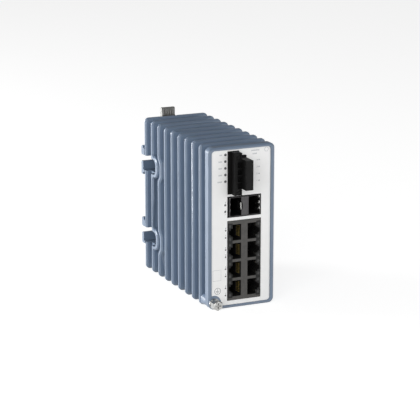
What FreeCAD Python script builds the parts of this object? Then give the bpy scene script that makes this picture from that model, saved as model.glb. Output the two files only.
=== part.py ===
import FreeCAD, Part
import math
import os

import Sketcher

# Industrial Ethernet switch for a 35 mm rail: a finned die-cast housing with a front bezel, a two-port
# fibre cage, an eight-port jack block, a pluggable power terminal and a sprung rail clip.
# While it is drawn, X runs to the right, Y runs backwards from the bezel's front plane and Z runs up
# from the surface it stands on. Each piece is then placed so that the origin is the middle of the
# rail's seat on the rear face.

SHEET = "Sizes"

# Driving dimensions in millimetres: alias, value, meaning
DIMENSIONS = [
    ("body_width", 52.0, "width over the fins and the bezel"),
    ("body_height", 119.6, "height over the fins and the bezel"),
    ("corner_radius", 5.0, "corner radius of the fins and the bezel"),
    ("bezel_depth", 6.6, "thickness of the front bezel"),
    ("first_fin_front", 15.2, "front face of the foremost fin"),
    ("fin_thickness", 3.8, "thickness of a fin"),
    ("fin_pitch", 12.8, "distance from fin to fin"),
    ("fin_count", 9, "number of fins"),
    ("fin_chamfer", 1.1, "chamfer of the fin edges"),
    ("groove_depth", 3.9, "depth of the grooves between the fins"),
    ("wall", 1.5, "wall of the housing below the grooves"),
    ("rear_wall", 6.4, "wall behind the rear bays"),
    ("rail_height", 58.8, "height of the middle of the rail above the base"),
    ("rail_width", 35.0, "width of the top hat rail"),
    ("rail_thickness", 1.0, "thickness of the rail's flange"),
    ("rail_clearance", 0.3, "play between the rail's top edge and its hook"),
    ("rail_play", 1.1, "space below the rail's bottom edge"),
    ("channel_height", 11.7, "height of each rear channel"),
    ("channel_depth", 22.2, "depth of each rear channel"),
    ("channel_corner", 4.5, "inner corner radius of the channels"),
    ("channel_wall", 3.9, "wall around the end of a channel"),
    ("channel_skin", 2.6, "wall above and below a channel's end"),
    ("jog_depth", 3.9, "how far the third fin steps forward round a channel"),
    ("jog_height", 8.8, "clear height behind the third fin's step"),
    ("hook_web", 1.9, "thickness of the lower web of a rail hook"),
    ("lip_web", 5.0, "thickness of the upper web of a channel"),
    ("hook_nose", 1.9, "overlap of the nose of a hook"),
    ("mouth_height", 5.2, "height of the rear mouth of a channel"),
    ("plate_gap", 2.2, "gap between the rear face and the lip plates"),
    ("plate_thickness", 3.6, "thickness of the lip plates"),
    ("lip_chamfer", 0.9, "chamfer of the lip plates"),
    ("rim_width", 2.2, "width of the bezel's raised rim"),
    ("rim_right", 3.0, "width of the raised rim on the right"),
    ("recess_depth", 1.2, "depth of the recess for the overlay"),
    ("bezel_face", 2.0, "thickness of the bezel behind the overlay"),
    ("bezel_chamfer", 1.1, "chamfer of the bezel's front edge"),
    ("recess_corner", 2.6, "corner radius of the recess"),
    ("overlay_thickness", 0.4, "thickness of the overlay"),
    ("overlay_gap", 0.15, "gap between the overlay and the rim"),
    ("cutout_gap", 0.3, "gap between a connector and its cut-out"),
    ("ground_across", -21.7, "place of the grounding screw across the front"),
    ("ground_height", 5.0, "height of the grounding screw"),
    ("ground_scallop", 5.4, "radius of the boss at the grounding screw"),
    ("ground_boss", 4.0, "radius of the boss behind the bezel"),
    ("ground_flats", 7.0, "width across flats of the grounding screw's head"),
    ("ground_head", 5.6, "height of the grounding screw's head"),
    ("ground_shank", 1.95, "radius of the grounding screw's shank"),
    ("ground_length", 12.5, "length of the grounding screw below its head"),
    ("ground_crown", 0.8, "chamfer of the grounding screw's head"),
    ("cross_arm", 2.2, "arm of the cross recess in the grounding screw"),
    ("cross_width", 0.7, "width of the cross recess"),
    ("cross_depth", 1.2, "depth of the cross recess"),
    ("washer_radius", 4.0, "radius of the grounding washers"),
    ("washer_thickness", 0.8, "thickness of a grounding washer"),
    ("screw_gap", 0.05, "radial play of a screw in its hole"),
    ("screw_relief", 0.6, "room beyond the end of a screw"),
    ("block_left", -10.9, "left side of the jack block and the fibre cage"),
    ("block_width", 26.1, "width of the jack block and the fibre cage"),
    ("block_front", 0.4, "front face of the jack block and the fibre cage"),
    ("jack_base", 5.7, "bottom of the jack block"),
    ("jack_pitch", 13.97, "height of one row of jacks"),
    ("jack_rows", 4, "rows of jacks"),
    ("jack_margin", 1.6, "height of the jack block's end walls"),
    ("jack_depth", 26.0, "depth of the jack block"),
    ("shield_thickness", 0.4, "sheet thickness of the jack shield"),
    ("jack_outer", 3.7, "jack block side to the main opening of a jack"),
    ("jack_opening_width", 6.8, "main opening of a jack, across"),
    ("jack_opening_height", 11.9, "main opening of a jack, upwards"),
    ("latch_step", 1.4, "depth of each step of the latch notch"),
    ("latch_wide", 6.0, "height of the first latch step"),
    ("latch_narrow", 3.4, "height of the second latch step"),
    ("jack_cavity", 14.0, "depth of a jack's cavity"),
    ("contact_pitch", 1.02, "distance from contact to contact"),
    ("contact_count", 8, "contacts in a jack"),
    ("contact_width", 0.45, "width of a contact"),
    ("contact_thickness", 0.35, "thickness of a contact"),
    ("contact_reach", 0.8, "how far a contact rises into its jack"),
    ("contact_front", 2.6, "front end of a contact behind the insulator's face"),
    ("comb_front", 5.8, "front of the contact comb behind the insulator's face"),
    ("comb_depth", 1.6, "how far the contact comb stands into its jack"),
    ("comb_height", 8.8, "height of the contact comb"),
    ("jack_light_width", 1.5, "jack light across"),
    ("jack_light_height", 1.9, "jack light upwards"),
    ("jack_light_depth", 5.0, "length of a jack light"),
    ("jack_light_inset", 0.9, "jack light to the block's side"),
    ("jack_light_offset", 4.75, "height of a jack light from the middle of its row"),
    ("cage_base", 67.7, "bottom of the fibre cage"),
    ("cage_height", 15.0, "height of the fibre cage"),
    ("cage_depth", 46.0, "depth of the fibre cage"),
    ("cage_side", 1.6, "left wall of the fibre cage"),
    ("cage_sheet", 0.8, "other walls of the fibre cage"),
    ("fibre_width", 9.0, "fibre port across"),
    ("latch_window", 5.6, "height of the latch window in the fibre cage's divider"),
    ("latch_window_depth", 0.9, "depth of the latch window"),
    ("latch_window_length", 6.0, "length of the latch window"),
    ("finger_height", 2.6, "height of a spring finger in the fibre cage"),
    ("finger_pitch", 4.2, "distance between the spring fingers"),
    ("finger_count", 3, "spring fingers on a side"),
    ("finger_rise", 0.7, "how far a spring finger stands in"),
    ("finger_length", 7.0, "length of a spring finger"),
    ("finger_peak", 2.3, "a spring finger's highest place behind its front end"),
    ("fibre_socket_depth", 10.0, "depth of a fibre connector"),
    ("fibre_socket_height", 10.4, "height of a fibre connector"),
    ("fibre_socket_width", 6.4, "width of a fibre connector"),
    ("fibre_slot_depth", 6.6, "depth of a fibre connector's slot"),
    ("terminal_left", -10.84, "left side of the terminal header"),
    ("terminal_height", 100.4, "height of the middle of the terminal"),
    ("header_rim", 2.2, "left rim of the terminal header"),
    ("header_wall", 0.7, "right rim of the terminal header"),
    ("header_height", 31.0, "height of the header's flange"),
    ("header_front", 0.2, "how far the header stands out of the bezel's front plane"),
    ("header_flange", 3.6, "depth of the header's flange"),
    ("header_depth", 14.0, "rear face of the terminal header"),
    ("header_body_height", 23.9, "height of the header's body"),
    ("header_floor", 2.6, "rear wall of the header"),
    ("plug_step_width", 5.65, "width of the plug's step"),
    ("plug_tower_width", 5.6, "width of the plug's tower"),
    ("plug_height", 30.8, "height of the plug"),
    ("plug_step_front", 6.4, "how far the plug's step stands out"),
    ("plug_tower_front", 13.2, "how far the plug's tower stands out"),
    ("plug_tower_height", 21.6, "height of the plug's tower"),
    ("plug_gap", 0.15, "gap between the plug and the header"),
    ("plug_insert", 9.0, "depth of the plug in the header"),
    ("pole_pitch", 5.08, "distance from pole to pole"),
    ("pole_count", 4, "poles of the terminal"),
    ("wire_window_width", 3.3, "wire entry across"),
    ("wire_window_height", 3.9, "wire entry upwards"),
    ("wire_window_depth", 4.6, "depth of a wire entry"),
    ("wire_window_drop", 0.9, "wire entry below the middle of its pole"),
    ("pole_groove", 0.5, "groove between the poles"),
    ("clamp_thickness", 1.4, "thickness of a wire clamp"),
    ("clamp_head", 1.4, "radius of a clamp screw"),
    ("clamp_length", 4.4, "length of a clamp screw"),
    ("clamp_sink", 0.8, "how deep a clamp screw lies"),
    ("clamp_setback", 4.0, "clamp screw behind the tower's front"),
    ("flange_screw_offset", 12.9, "flange screw from the middle of the plug"),
    ("flange_screw_head", 2.1, "radius of a flange screw's head"),
    ("flange_screw_height", 1.8, "height of a flange screw's head"),
    ("flange_screw_shank", 1.25, "radius of a flange screw's shank"),
    ("flange_screw_sink", 0.6, "how deep a flange screw's head lies"),
    ("pin_size", 1.0, "side of a terminal pin"),
    ("pin_front", 4.0, "front end of a terminal pin"),
    ("pin_rear", 2.4, "how far a terminal pin runs behind the header"),
    ("pin_socket", 1.6, "side of a pin socket in the plug"),
    ("pin_tail", 0.8, "how far a terminal pin stands out of its board"),
    ("status_across", -12.8, "place of the status lights across the front"),
    ("status_base", 94.3, "height of the lowest status light"),
    ("status_pitch", 4.88, "distance between the status lights"),
    ("status_count", 5, "number of status lights"),
    ("status_light", 1.8, "side of a status light"),
    ("fibre_light_base", 72.2, "height of the lower fibre light"),
    ("fibre_light_pitch", 4.8, "distance between the fibre lights"),
    ("fibre_light_count", 2, "number of fibre lights"),
    ("small_light", 1.1, "side of a fibre or port light"),
    ("port_light_across", -12.5, "place of the port lights across the front"),
    ("port_light_base", 9.65, "height of the lowest port light"),
    ("port_light_gap", 5.4, "distance between the two lights of a row"),
    ("port_light_pitch", 14.4, "distance from row to row of port lights"),
    ("light_gap", 0.1, "play round a light pipe"),
    ("light_bar", 1.6, "thickness of the bar of a light pipe"),
    ("light_bar_gap", 0.3, "light pipe bar behind the bezel's face"),
    ("light_bar_end", 0.4, "light pipe bar beyond its last light"),
    ("light_bar_room", 0.4, "room round the end of a light pipe bar"),
    ("bezel_screw_across", 19.1, "bezel screws from the middle"),
    ("bezel_screw_low", 16.0, "height of the lower bezel screws"),
    ("bezel_screw_high", 108.0, "height of the upper bezel screws"),
    ("bezel_screw_shank", 1.0, "radius of a bezel screw's shank"),
    ("bezel_screw_head", 1.8, "radius of a bezel screw's head"),
    ("bezel_screw_height", 0.9, "height of a bezel screw's head"),
    ("bezel_screw_length", 11.0, "length of a bezel screw below its head"),
    ("bezel_boss", 1.9, "radius of a bezel screw's boss"),
    ("bezel_boss_length", 10.0, "length of a bezel screw's boss in the housing"),
    ("board_thickness", 1.6, "thickness of a circuit board"),
    ("board_front", 7.4, "front edge of the main board"),
    ("board_rear", 92.0, "rear edge of the main board"),
    ("board_edge", 1.6, "main board to the housing's inner walls"),
    ("board_screw_front", 32.0, "front board screws"),
    ("board_screw_rear", 86.0, "rear board screws"),
    ("board_screw_edge", 4.2, "board screws from the board's edge"),
    ("board_screw_shank", 1.2, "radius of a board screw's shank"),
    ("board_screw_head", 2.2, "radius of a board screw's head"),
    ("board_screw_height", 1.2, "height of a board screw's head"),
    ("board_screw_bite", 2.4, "how deep a board screw goes into its boss"),
    ("board_boss", 2.6, "radius of a board boss"),
    ("power_board_gap", 0.3, "power board beside the terminal header"),
    ("power_board_rear", 76.0, "rear edge of the power board"),
    ("power_board_base", 86.0, "bottom of the power board"),
    ("power_board_height", 27.0, "height of the power board"),
    ("can_radius", 5.0, "radius of a power capacitor"),
    ("can_length", 16.0, "length of a power capacitor"),
    ("can_first", 34.0, "first power capacitor from the front"),
    ("can_pitch", 12.0, "distance between the power capacitors"),
    ("inductor_side", 12.0, "side of the power inductor"),
    ("inductor_height", 6.0, "height of the power inductor"),
    ("inductor_middle", 62.0, "middle of the power inductor from the front"),
    ("link_front", 64.0, "front side of the board connector"),
    ("link_length", 10.0, "length of the board connector"),
    ("link_height", 5.0, "height of the board connector"),
    ("link_base", 92.0, "bottom of the board connector"),
    ("chip_side", 20.0, "side of the switch chip"),
    ("chip_thickness", 1.5, "thickness of the switch chip"),
    ("chip_middle", 60.0, "middle of the switch chip from the front"),
    ("chip_height", 50.0, "height of the middle of the switch chip"),
    ("transformer_front", 32.0, "front side of the line transformers"),
    ("transformer_base", 19.5, "height of the middle of the lowest line transformer"),
    ("transformer_length", 13.0, "length of a line transformer"),
    ("transformer_height", 10.5, "height of a line transformer"),
    ("transformer_thickness", 5.6, "thickness of a line transformer"),
    ("clip_across", -4.7, "place of the rail clip across the rear face"),
    ("clip_width", 10.8, "width of the clip slider"),
    ("clip_gap", 0.2, "running gap of the clip slider"),
    ("clip_strip", 1.8, "thickness of the clip slider's strip"),
    ("clip_travel", 4.5, "travel of the clip slider"),
    ("clip_foot", 33.6, "bottom of the clip slider"),
    ("clip_hook_height", 4.1, "height of the hook's arm"),
    ("clip_nose", 1.8, "how far the hook's nose rises behind the rail"),
    ("clip_nose_thickness", 1.9, "thickness of the hook's nose"),
    ("clip_neck", 113.0, "where the strip leaves the rear face"),
    ("clip_neck_thickness", 4.5, "thickness of the clip's neck"),
    ("pad_front", 2.1, "front face of the release pad behind the rear face"),
    ("pad_thickness", 3.5, "thickness of the release pad"),
    ("pad_rise", 5.7, "release pad above the fins"),
    ("pad_groove", 0.9, "width of a groove in the release pad"),
    ("pad_groove_depth", 0.5, "depth of a groove in the release pad"),
    ("pad_groove_pitch", 1.8, "distance between the grooves"),
    ("pad_groove_count", 5, "grooves in the release pad"),
    ("pad_chamfer", 0.7, "chamfer of the release pad"),
    ("clip_stop_height", 2.0, "height of the slider's stop below the retainer"),
    ("clip_stop_width", 5.0, "width of the slider's stop"),
    ("clip_stop_rise", 1.1, "how far the slider's stop stands out"),
    ("spring_base", 49.0, "lower end of the clip spring"),
    ("spring_length", 16.0, "length of the clip spring"),
    ("spring_radius", 1.5, "mean radius of the clip spring"),
    ("spring_wire", 0.35, "half the thickness of the spring wire"),
    ("spring_turns", 6, "turns of the clip spring"),
    ("spring_play", 0.35, "play round the clip spring"),
    ("retainer_base", 102.4, "bottom of the clip retainer"),
    ("retainer_height", 5.4, "height of the clip retainer"),
    ("retainer_ear", 5.4, "ear of the clip retainer beside the slider"),
    ("retainer_thickness", 1.2, "thickness of the clip retainer"),
    ("retainer_shank", 0.95, "radius of a retainer screw's shank"),
    ("retainer_head", 1.9, "radius of a retainer screw's head"),
    ("retainer_screw_height", 1.1, "height of a retainer screw's head"),
    ("retainer_bite", 4.0, "how deep a retainer screw goes into the housing"),
]


def size(alias):
    """Return the expression that reads one cell of the sheet."""
    return f"{SHEET}.{alias}"


# Derived places, as expressions over the sheet
DEPTH = (
    f"({size('first_fin_front')} + ({size('fin_count')} - 1) * {size('fin_pitch')}"
    f" + {size('fin_thickness')})"
)
MIDDLE_HEIGHT = f"({size('body_height')} / 2)"
CORE_WIDTH = f"({size('body_width')} - 2 * {size('groove_depth')})"
CORE_HEIGHT = f"({size('body_height')} - 2 * {size('groove_depth')})"
INNER_HALF = f"({CORE_WIDTH} / 2 - {size('wall')})"
INNER_BASE = f"({size('groove_depth')} + {size('wall')})"
INNER_TOP = f"({size('body_height')} - {INNER_BASE})"
CHANNEL_END = f"({DEPTH} - {size('channel_depth')})"
CAVITY_END = f"({CHANNEL_END} - {size('channel_wall')})"
BAY_END = f"({DEPTH} - {size('rear_wall')})"
SECOND_FIN = f"({DEPTH} - {size('fin_thickness')} - {size('fin_pitch')})"
THIRD_FIN = f"({SECOND_FIN} - {size('fin_pitch')})"
RAIL_TOP = f"({size('rail_height')} + {size('rail_width')} / 2)"
RAIL_BASE = f"({size('rail_height')} - {size('rail_width')} / 2)"
HOOK_ROOF = f"({RAIL_TOP} + {size('rail_clearance')})"
UPPER_FLOOR = f"({HOOK_ROOF} + {size('hook_web')})"
LOWER_TIP = f"({RAIL_BASE} - {size('rail_play')})"
LOWER_CEILING = f"({LOWER_TIP} - {size('hook_nose')} - {size('lip_web')})"
LOWER_FLOOR = f"({LOWER_CEILING} - {size('channel_height')})"
PLATE_FRONT = f"({DEPTH} + {size('plate_gap')})"
PLATE_REAR = f"({PLATE_FRONT} + {size('plate_thickness')})"
FACE_FRONT = size("recess_depth")
FACE_REAR = f"({size('recess_depth')} + {size('bezel_face')})"
OVERLAY_FRONT = f"({size('recess_depth')} - {size('overlay_thickness')})"
STATUS_TOP = f"({size('status_base')} + {size('status_pitch')} * ({size('status_count')} - 1))"
BLOCK_RIGHT = f"({size('block_left')} + {size('block_width')})"
JACK_HEIGHT = f"({size('jack_rows')} * {size('jack_pitch')} + 2 * {size('jack_margin')})"
JACK_FIRST_ROW = f"({size('jack_base')} + {size('jack_margin')} + {size('jack_pitch')} / 2)"
JACK_FACE = f"({size('block_front')} + {size('shield_thickness')})"
JACK_FLOOR = f"({JACK_FACE} + {size('jack_cavity')})"
COMB_FACE = f"({JACK_FACE} + {size('comb_front')})"
JACK_REAR = f"({size('block_front')} + {size('jack_depth')})"
CAGE_REAR = f"({size('block_front')} + {size('cage_depth')})"
CAGE_MIDDLE = f"({size('cage_base')} + {size('cage_height')} / 2)"
FIBRE_HEIGHT = f"({size('cage_height')} - 2 * {size('cage_sheet')})"
FIBRE_LEFT = f"({size('block_left')} + {size('cage_side')})"
FIBRE_DIVIDER = f"({FIBRE_LEFT} + {size('fibre_width')})"
FIBRE_RIGHT = f"({BLOCK_RIGHT} - {size('cage_sheet')})"
PLUG_LEFT = f"({size('terminal_left')} + {size('header_rim')})"
TOWER_LEFT = f"({PLUG_LEFT} + {size('plug_step_width')})"
TOWER_RIGHT = f"({TOWER_LEFT} + {size('plug_tower_width')})"
HEADER_RIGHT = f"({TOWER_RIGHT} + {size('header_wall')})"
FLANGE_RIGHT = f"({TOWER_LEFT} + {size('header_wall')})"
STEP_MIDDLE = f"({PLUG_LEFT} + {size('plug_step_width')} / 2)"
FIRST_POLE = f"({size('terminal_height')} - ({size('pole_count')} - 1) * {size('pole_pitch')} / 2)"
WIRE_FLOOR = f"(-{size('plug_step_front')} + {size('wire_window_depth')})"
PIN_ACROSS = STEP_MIDDLE
PIN_TURN = f"({size('header_depth')} + {size('pin_rear')})"
BOARD_LEFT = BLOCK_RIGHT
BOARD_RIGHT = f"({BOARD_LEFT} + {size('board_thickness')})"
BOARD_BASE = f"({INNER_BASE} + {size('board_edge')})"
BOARD_TOP = f"({INNER_TOP} - {size('board_edge')})"
BOARD_HOLE = f"({size('board_screw_shank')} + {size('screw_gap')})"
POWER_LEFT = f"({HEADER_RIGHT} + {size('power_board_gap')})"
POWER_RIGHT = f"({POWER_LEFT} + {size('board_thickness')})"
POWER_MIDDLE = f"({size('power_board_base')} + {size('power_board_height')} / 2)"
CLIP_FRONT = f"({DEPTH} - {size('clip_strip')} - {size('clip_gap')})"
CLIP_REAR = f"({DEPTH} - {size('clip_gap')})"
CLIP_SLOT = f"({size('clip_strip')} + {size('clip_gap')} * 3 / 2)"
CLIP_TUNNEL = f"({size('clip_width')} + 2 * {size('clip_gap')})"
SPRING_BACK = f"({size('spring_radius')} + {size('spring_wire')})"
SPRING_LINE = f"({CLIP_REAR} - {SPRING_BACK})"
SPRING_ROOM = f"(2 * {SPRING_BACK} + 2 * {size('spring_play')})"
GROUND_SEAT = f"(-2 * {size('washer_thickness')})"
GROUND_FRONT = f"({GROUND_SEAT} - {size('ground_head')})"
RETAINER_SPREAD = f"({size('clip_width')} / 2 + {size('retainer_ear')} / 2)"
RETAINER_LINE = f"({size('retainer_base')} + {size('retainer_height')} / 2)"

# Sides of the small screws and their holes: multiples of four, so that each fits its hole however
# it is turned
SHANK_SIDES = 8
HEAD_SIDES = 12
# Straight runs in one turn of the spring wire, and in one corner of a fin or the bezel
SPRING_STEPS = 6
CORNER_STEPS = 4

CELL = {}


def fill_sheet(document):
    """Write every driving dimension into the spreadsheet with its alias."""
    sheet = document.addObject("Spreadsheet::Sheet", SHEET)
    for row, (alias, value, meaning) in enumerate(DIMENSIONS, start=1):
        sheet.set(f"A{row}", meaning)
        sheet.set(f"B{row}", str(value))
        sheet.setAlias(f"B{row}", alias)
    document.recompute()
    return sheet


def value(expression):
    """Work out an expression over the sheet as a plain number."""
    result = CELL["sheet"].evalExpression(expression)
    return float(getattr(result, "Value", result))


def place(part):
    """Move a piece from the front datum to the origin at the rail's seat."""
    part.setExpression("Placement.Base.y", f"-{DEPTH}")
    part.setExpression("Placement.Base.z", f"-{size('rail_height')}")


def new_body(document, label):
    """Add an empty body with its label and placement."""
    body = document.addObject("PartDesign::Body", label)
    body.Label = label
    body.AllowCompound = True
    place(body)
    return body


def origin_feature(body, role):
    """Find one of a body's own origin planes or axes."""
    for feature in body.Origin.OriginFeatures:
        if feature.Role == role:
            return feature
    raise ValueError(role)


def sketch_on(body, role, name, offset):
    """Attach a sketch to an origin plane; the offset runs along the plane's normal."""
    sketch = body.newObject("Sketcher::SketchObject", name)
    sketch.AttachmentSupport = [(origin_feature(body, role), "")]
    sketch.MapMode = "FlatFace"
    sketch.setExpression("AttachmentOffset.Base.z", offset)
    return sketch


def front_sketch(body, name, depth):
    """Sketch in X and Z at a depth behind the front plane."""
    return sketch_on(body, "XZ_Plane", name, f"-({depth})")


def side_sketch(body, name, across):
    """Sketch in Y and Z at a place across the front."""
    return sketch_on(body, "YZ_Plane", name, across)


def top_sketch(body, name, height):
    """Sketch in X and Y at a height above the base."""
    return sketch_on(body, "XY_Plane", name, height)


def fix_point(sketch, geometry, position, across, along):
    """Tie one sketch point to two expressions."""
    for kind, expression in (("DistanceX", across), ("DistanceY", along)):
        index = sketch.addConstraint(
            Sketcher.Constraint(kind, -1, 1, geometry, position, value(expression))
        )
        sketch.setExpression(f"Constraints[{index}]", expression)


def fix_centre(sketch, geometry, kind, expression):
    """Tie one coordinate of an arc's centre to an expression."""
    index = sketch.addConstraint(
        Sketcher.Constraint(kind, -1, 1, geometry, 3, value(expression))
    )
    sketch.setExpression(f"Constraints[{index}]", expression)


def arc_between(start, end, centre, clockwise):
    """Make an arc from start to end round a centre."""
    circle = Part.Circle(centre, FreeCAD.Vector(0, 0, 1), (start - centre).Length)
    first = math.atan2(start.y - centre.y, start.x - centre.x)
    last = math.atan2(end.y - centre.y, end.x - centre.x)
    if clockwise:
        first, last = last, first
    return Part.ArcOfCircle(circle, first, last)


def outline(sketch, corners):
    """Draw a closed outline.

    Each corner is (across, along) or (across, along, arc), where the arc describes the edge that
    leaves the corner: (centre across, centre along, clockwise).
    """
    points = [FreeCAD.Vector(value(corner[0]), value(corner[1]), 0) for corner in corners]
    ends = []
    for index, corner in enumerate(corners):
        start = points[index]
        end = points[(index + 1) % len(points)]
        if len(corner) == 2:
            geometry = sketch.addGeometry(Part.LineSegment(start, end), False)
            ends.append((geometry, 1, 2))
            continue
        centre_across, centre_along, clockwise = corner[2]
        centre = FreeCAD.Vector(value(centre_across), value(centre_along), 0)
        geometry = sketch.addGeometry(arc_between(start, end, centre, clockwise), False)
        ends.append((geometry, 2, 1) if clockwise else (geometry, 1, 2))
    for index, corner in enumerate(corners):
        geometry, first, last = ends[index]
        following, following_first, _ = ends[(index + 1) % len(ends)]
        sketch.addConstraint(
            Sketcher.Constraint("Coincident", geometry, last, following, following_first)
        )
        fix_point(sketch, geometry, first, corner[0], corner[1])
        if len(corner) == 3:
            chord = points[(index + 1) % len(points)] - points[index]
            upright = abs(chord.y) >= abs(chord.x)
            kind = "DistanceX" if upright else "DistanceY"
            fix_centre(sketch, geometry, kind, corner[2][0] if upright else corner[2][1])


def rectangle(sketch, left, base, right, top):
    """Draw a rectangle between four expressions."""
    outline(sketch, [(left, base), (right, base), (right, top), (left, top)])


def rounded_rectangle(sketch, left, base, right, top, radius):
    """Draw a rectangle with rounded corners."""
    outline(
        sketch,
        [
            (f"{left} + {radius}", base),
            (f"{right} - {radius}", base, (f"{right} - {radius}", f"{base} + {radius}", False)),
            (right, f"{base} + {radius}"),
            (right, f"{top} - {radius}", (f"{right} - {radius}", f"{top} - {radius}", False)),
            (f"{right} - {radius}", top),
            (f"{left} + {radius}", top, (f"{left} + {radius}", f"{top} - {radius}", False)),
            (left, f"{top} - {radius}"),
            (left, f"{base} + {radius}", (f"{left} + {radius}", f"{base} + {radius}", False)),
        ],
    )


def stepped_rectangle(sketch, left, base, right, top, radius):
    """Draw a rectangle whose corners are turned in a few straight steps."""
    corners = []
    for across, height, first in (
        (f"{right} - {radius}", f"{base} + {radius}", -90),
        (f"{right} - {radius}", f"{top} - {radius}", 0),
        (f"{left} + {radius}", f"{top} - {radius}", 90),
        (f"{left} + {radius}", f"{base} + {radius}", 180),
    ):
        for step in range(CORNER_STEPS + 1):
            turn = first + 90 * step / CORNER_STEPS
            corners.append(
                (f"{across} + {radius} * cos({turn})", f"{height} + {radius} * sin({turn})")
            )
    outline(sketch, corners)


def circle(sketch, across, along, radius):
    """Draw a circle tied to its centre and radius."""
    centre = FreeCAD.Vector(value(across), value(along), 0)
    geometry = sketch.addGeometry(
        Part.Circle(centre, FreeCAD.Vector(0, 0, 1), value(radius)), False
    )
    fix_point(sketch, geometry, 3, across, along)
    index = sketch.addConstraint(Sketcher.Constraint("Radius", geometry, value(radius)))
    sketch.setExpression(f"Constraints[{index}]", radius)


def polygon(sketch, across, along, radius, sides):
    """Draw a regular polygon whose corners lie on a circle."""
    turns = [360 * index / sides for index in range(sides)]
    outline(
        sketch,
        [
            (f"{across} + {radius} * cos({turn})", f"{along} + {radius} * sin({turn})")
            for turn in turns
        ],
    )


def square(sketch, across, along, side):
    """Draw a square round its middle."""
    rectangle(
        sketch,
        f"{across} - {side} / 2",
        f"{along} - {side} / 2",
        f"{across} + {side} / 2",
        f"{along} + {side} / 2",
    )


def pad(body, sketch, length, backwards=False, middle=False):
    """Extrude a sketch; backwards runs against the plane's normal."""
    feature = body.newObject("PartDesign::Pad", f"{sketch.Name}Pad")
    feature.Profile = sketch
    feature.Reversed = backwards
    feature.Midplane = middle
    feature.setExpression("Length", length)
    body.Document.recompute()
    return feature


def pocket(body, sketch, length, forwards=False, middle=False):
    """Cut with a sketch and make sure that something was removed."""
    before = body.Shape.Volume
    feature = body.newObject("PartDesign::Pocket", f"{sketch.Name}Pocket")
    feature.Profile = sketch
    feature.Reversed = forwards
    feature.Midplane = middle
    feature.setExpression("Length", length)
    body.Document.recompute()
    if body.Shape.Volume >= before:
        raise ValueError(f"{feature.Name} cuts nothing")
    return feature


def repeat(body, features, direction, length, count):
    """Repeat features in a row along a direction."""
    pattern = body.newObject("PartDesign::LinearPattern", f"{features[-1].Name}Row")
    pattern.Originals = features
    pattern.Direction = direction
    pattern.setExpression("Length", length)
    pattern.setExpression("Occurrences", count)
    body.Tip = pattern
    body.Document.recompute()
    return pattern


def mirror(body, features, plane):
    """Mirror features in a plane."""
    feature = body.newObject("PartDesign::Mirrored", f"{features[-1].Name}Mirror")
    feature.Originals = features
    feature.MirrorPlane = plane
    body.Tip = feature
    body.Document.recompute()
    return feature


def edge_names(shape, wanted):
    """Name the edges of a shape that a test picks out."""
    return [f"Edge{index}" for index, edge in enumerate(shape.Edges, start=1) if wanted(edge)]


def bevel_edges(body, length, wanted):
    """Chamfer the edges of a body's present shape that a test picks out."""
    base = body.Tip
    feature = body.newObject("PartDesign::Chamfer", f"{base.Name}Bevel")
    feature.Base = (base, edge_names(base.Shape, wanted))
    feature.setExpression("Size", length)
    body.Document.recompute()
    return feature


def upwards(sketch):
    """The direction of a sketch's vertical axis."""
    return (sketch, ["V_Axis"])


def span(pitch, count):
    """Length of a row from its first copy to its last."""
    return f"({pitch} * ({count} - 1))"


def new_piece(document, label, shape):
    """Add a piece whose shape is built from the sheet's sizes."""
    piece = document.addObject("Part::Feature", label)
    piece.Label = label
    piece.Shape = shape
    place(piece)
    return piece


def prism(base, axis, radius, sides, low, high):
    """A regular prism between two heights above a base point, along an axis."""
    turns = [math.radians(360 * index / sides) for index in range(sides)]
    points = [
        FreeCAD.Vector(radius * math.cos(turn), radius * math.sin(turn), low) for turn in turns
    ]
    solid = Part.Face(Part.makePolygon(points + points[:1])).extrude(
        FreeCAD.Vector(0, 0, high - low)
    )
    solid.Placement = FreeCAD.Placement(base, FreeCAD.Rotation(FreeCAD.Vector(0, 0, 1), axis))
    return solid


def screw(base, axis, head_radius, head_height, shank_radius, length, head_sides=SHANK_SIDES):
    """A screw whose head stands on the base point; the axis points out of the head."""
    head = prism(base, axis, head_radius, head_sides, 0, head_height)
    return head.fuse(prism(base, axis, shank_radius, SHANK_SIDES, -length, 0))


# Finned housing

def shared_outline(sketch):
    """The outline that the fins and the bezel share."""
    half = f"({size('body_width')} / 2)"
    stepped_rectangle(
        sketch, f"-{half}", "0", half, size("body_height"), size("corner_radius")
    )


def add_fins(body):
    """The core with its row of fins."""
    core = front_sketch(body, "Core", size("bezel_depth"))
    half = f"({CORE_WIDTH} / 2)"
    base = size("groove_depth")
    rectangle(core, f"-{half}", base, half, f"({base} + {CORE_HEIGHT})")
    pad(body, core, f"{DEPTH} - {size('bezel_depth')}", backwards=True)
    fin = front_sketch(body, "Fin", size("first_fin_front"))
    shared_outline(fin)
    first = pad(body, fin, size("fin_thickness"), backwards=True)
    direction = (origin_feature(body, "Y_Axis"), [""])
    repeat(body, [first], direction, span(size("fin_pitch"), size("fin_count")), size("fin_count"))


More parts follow.
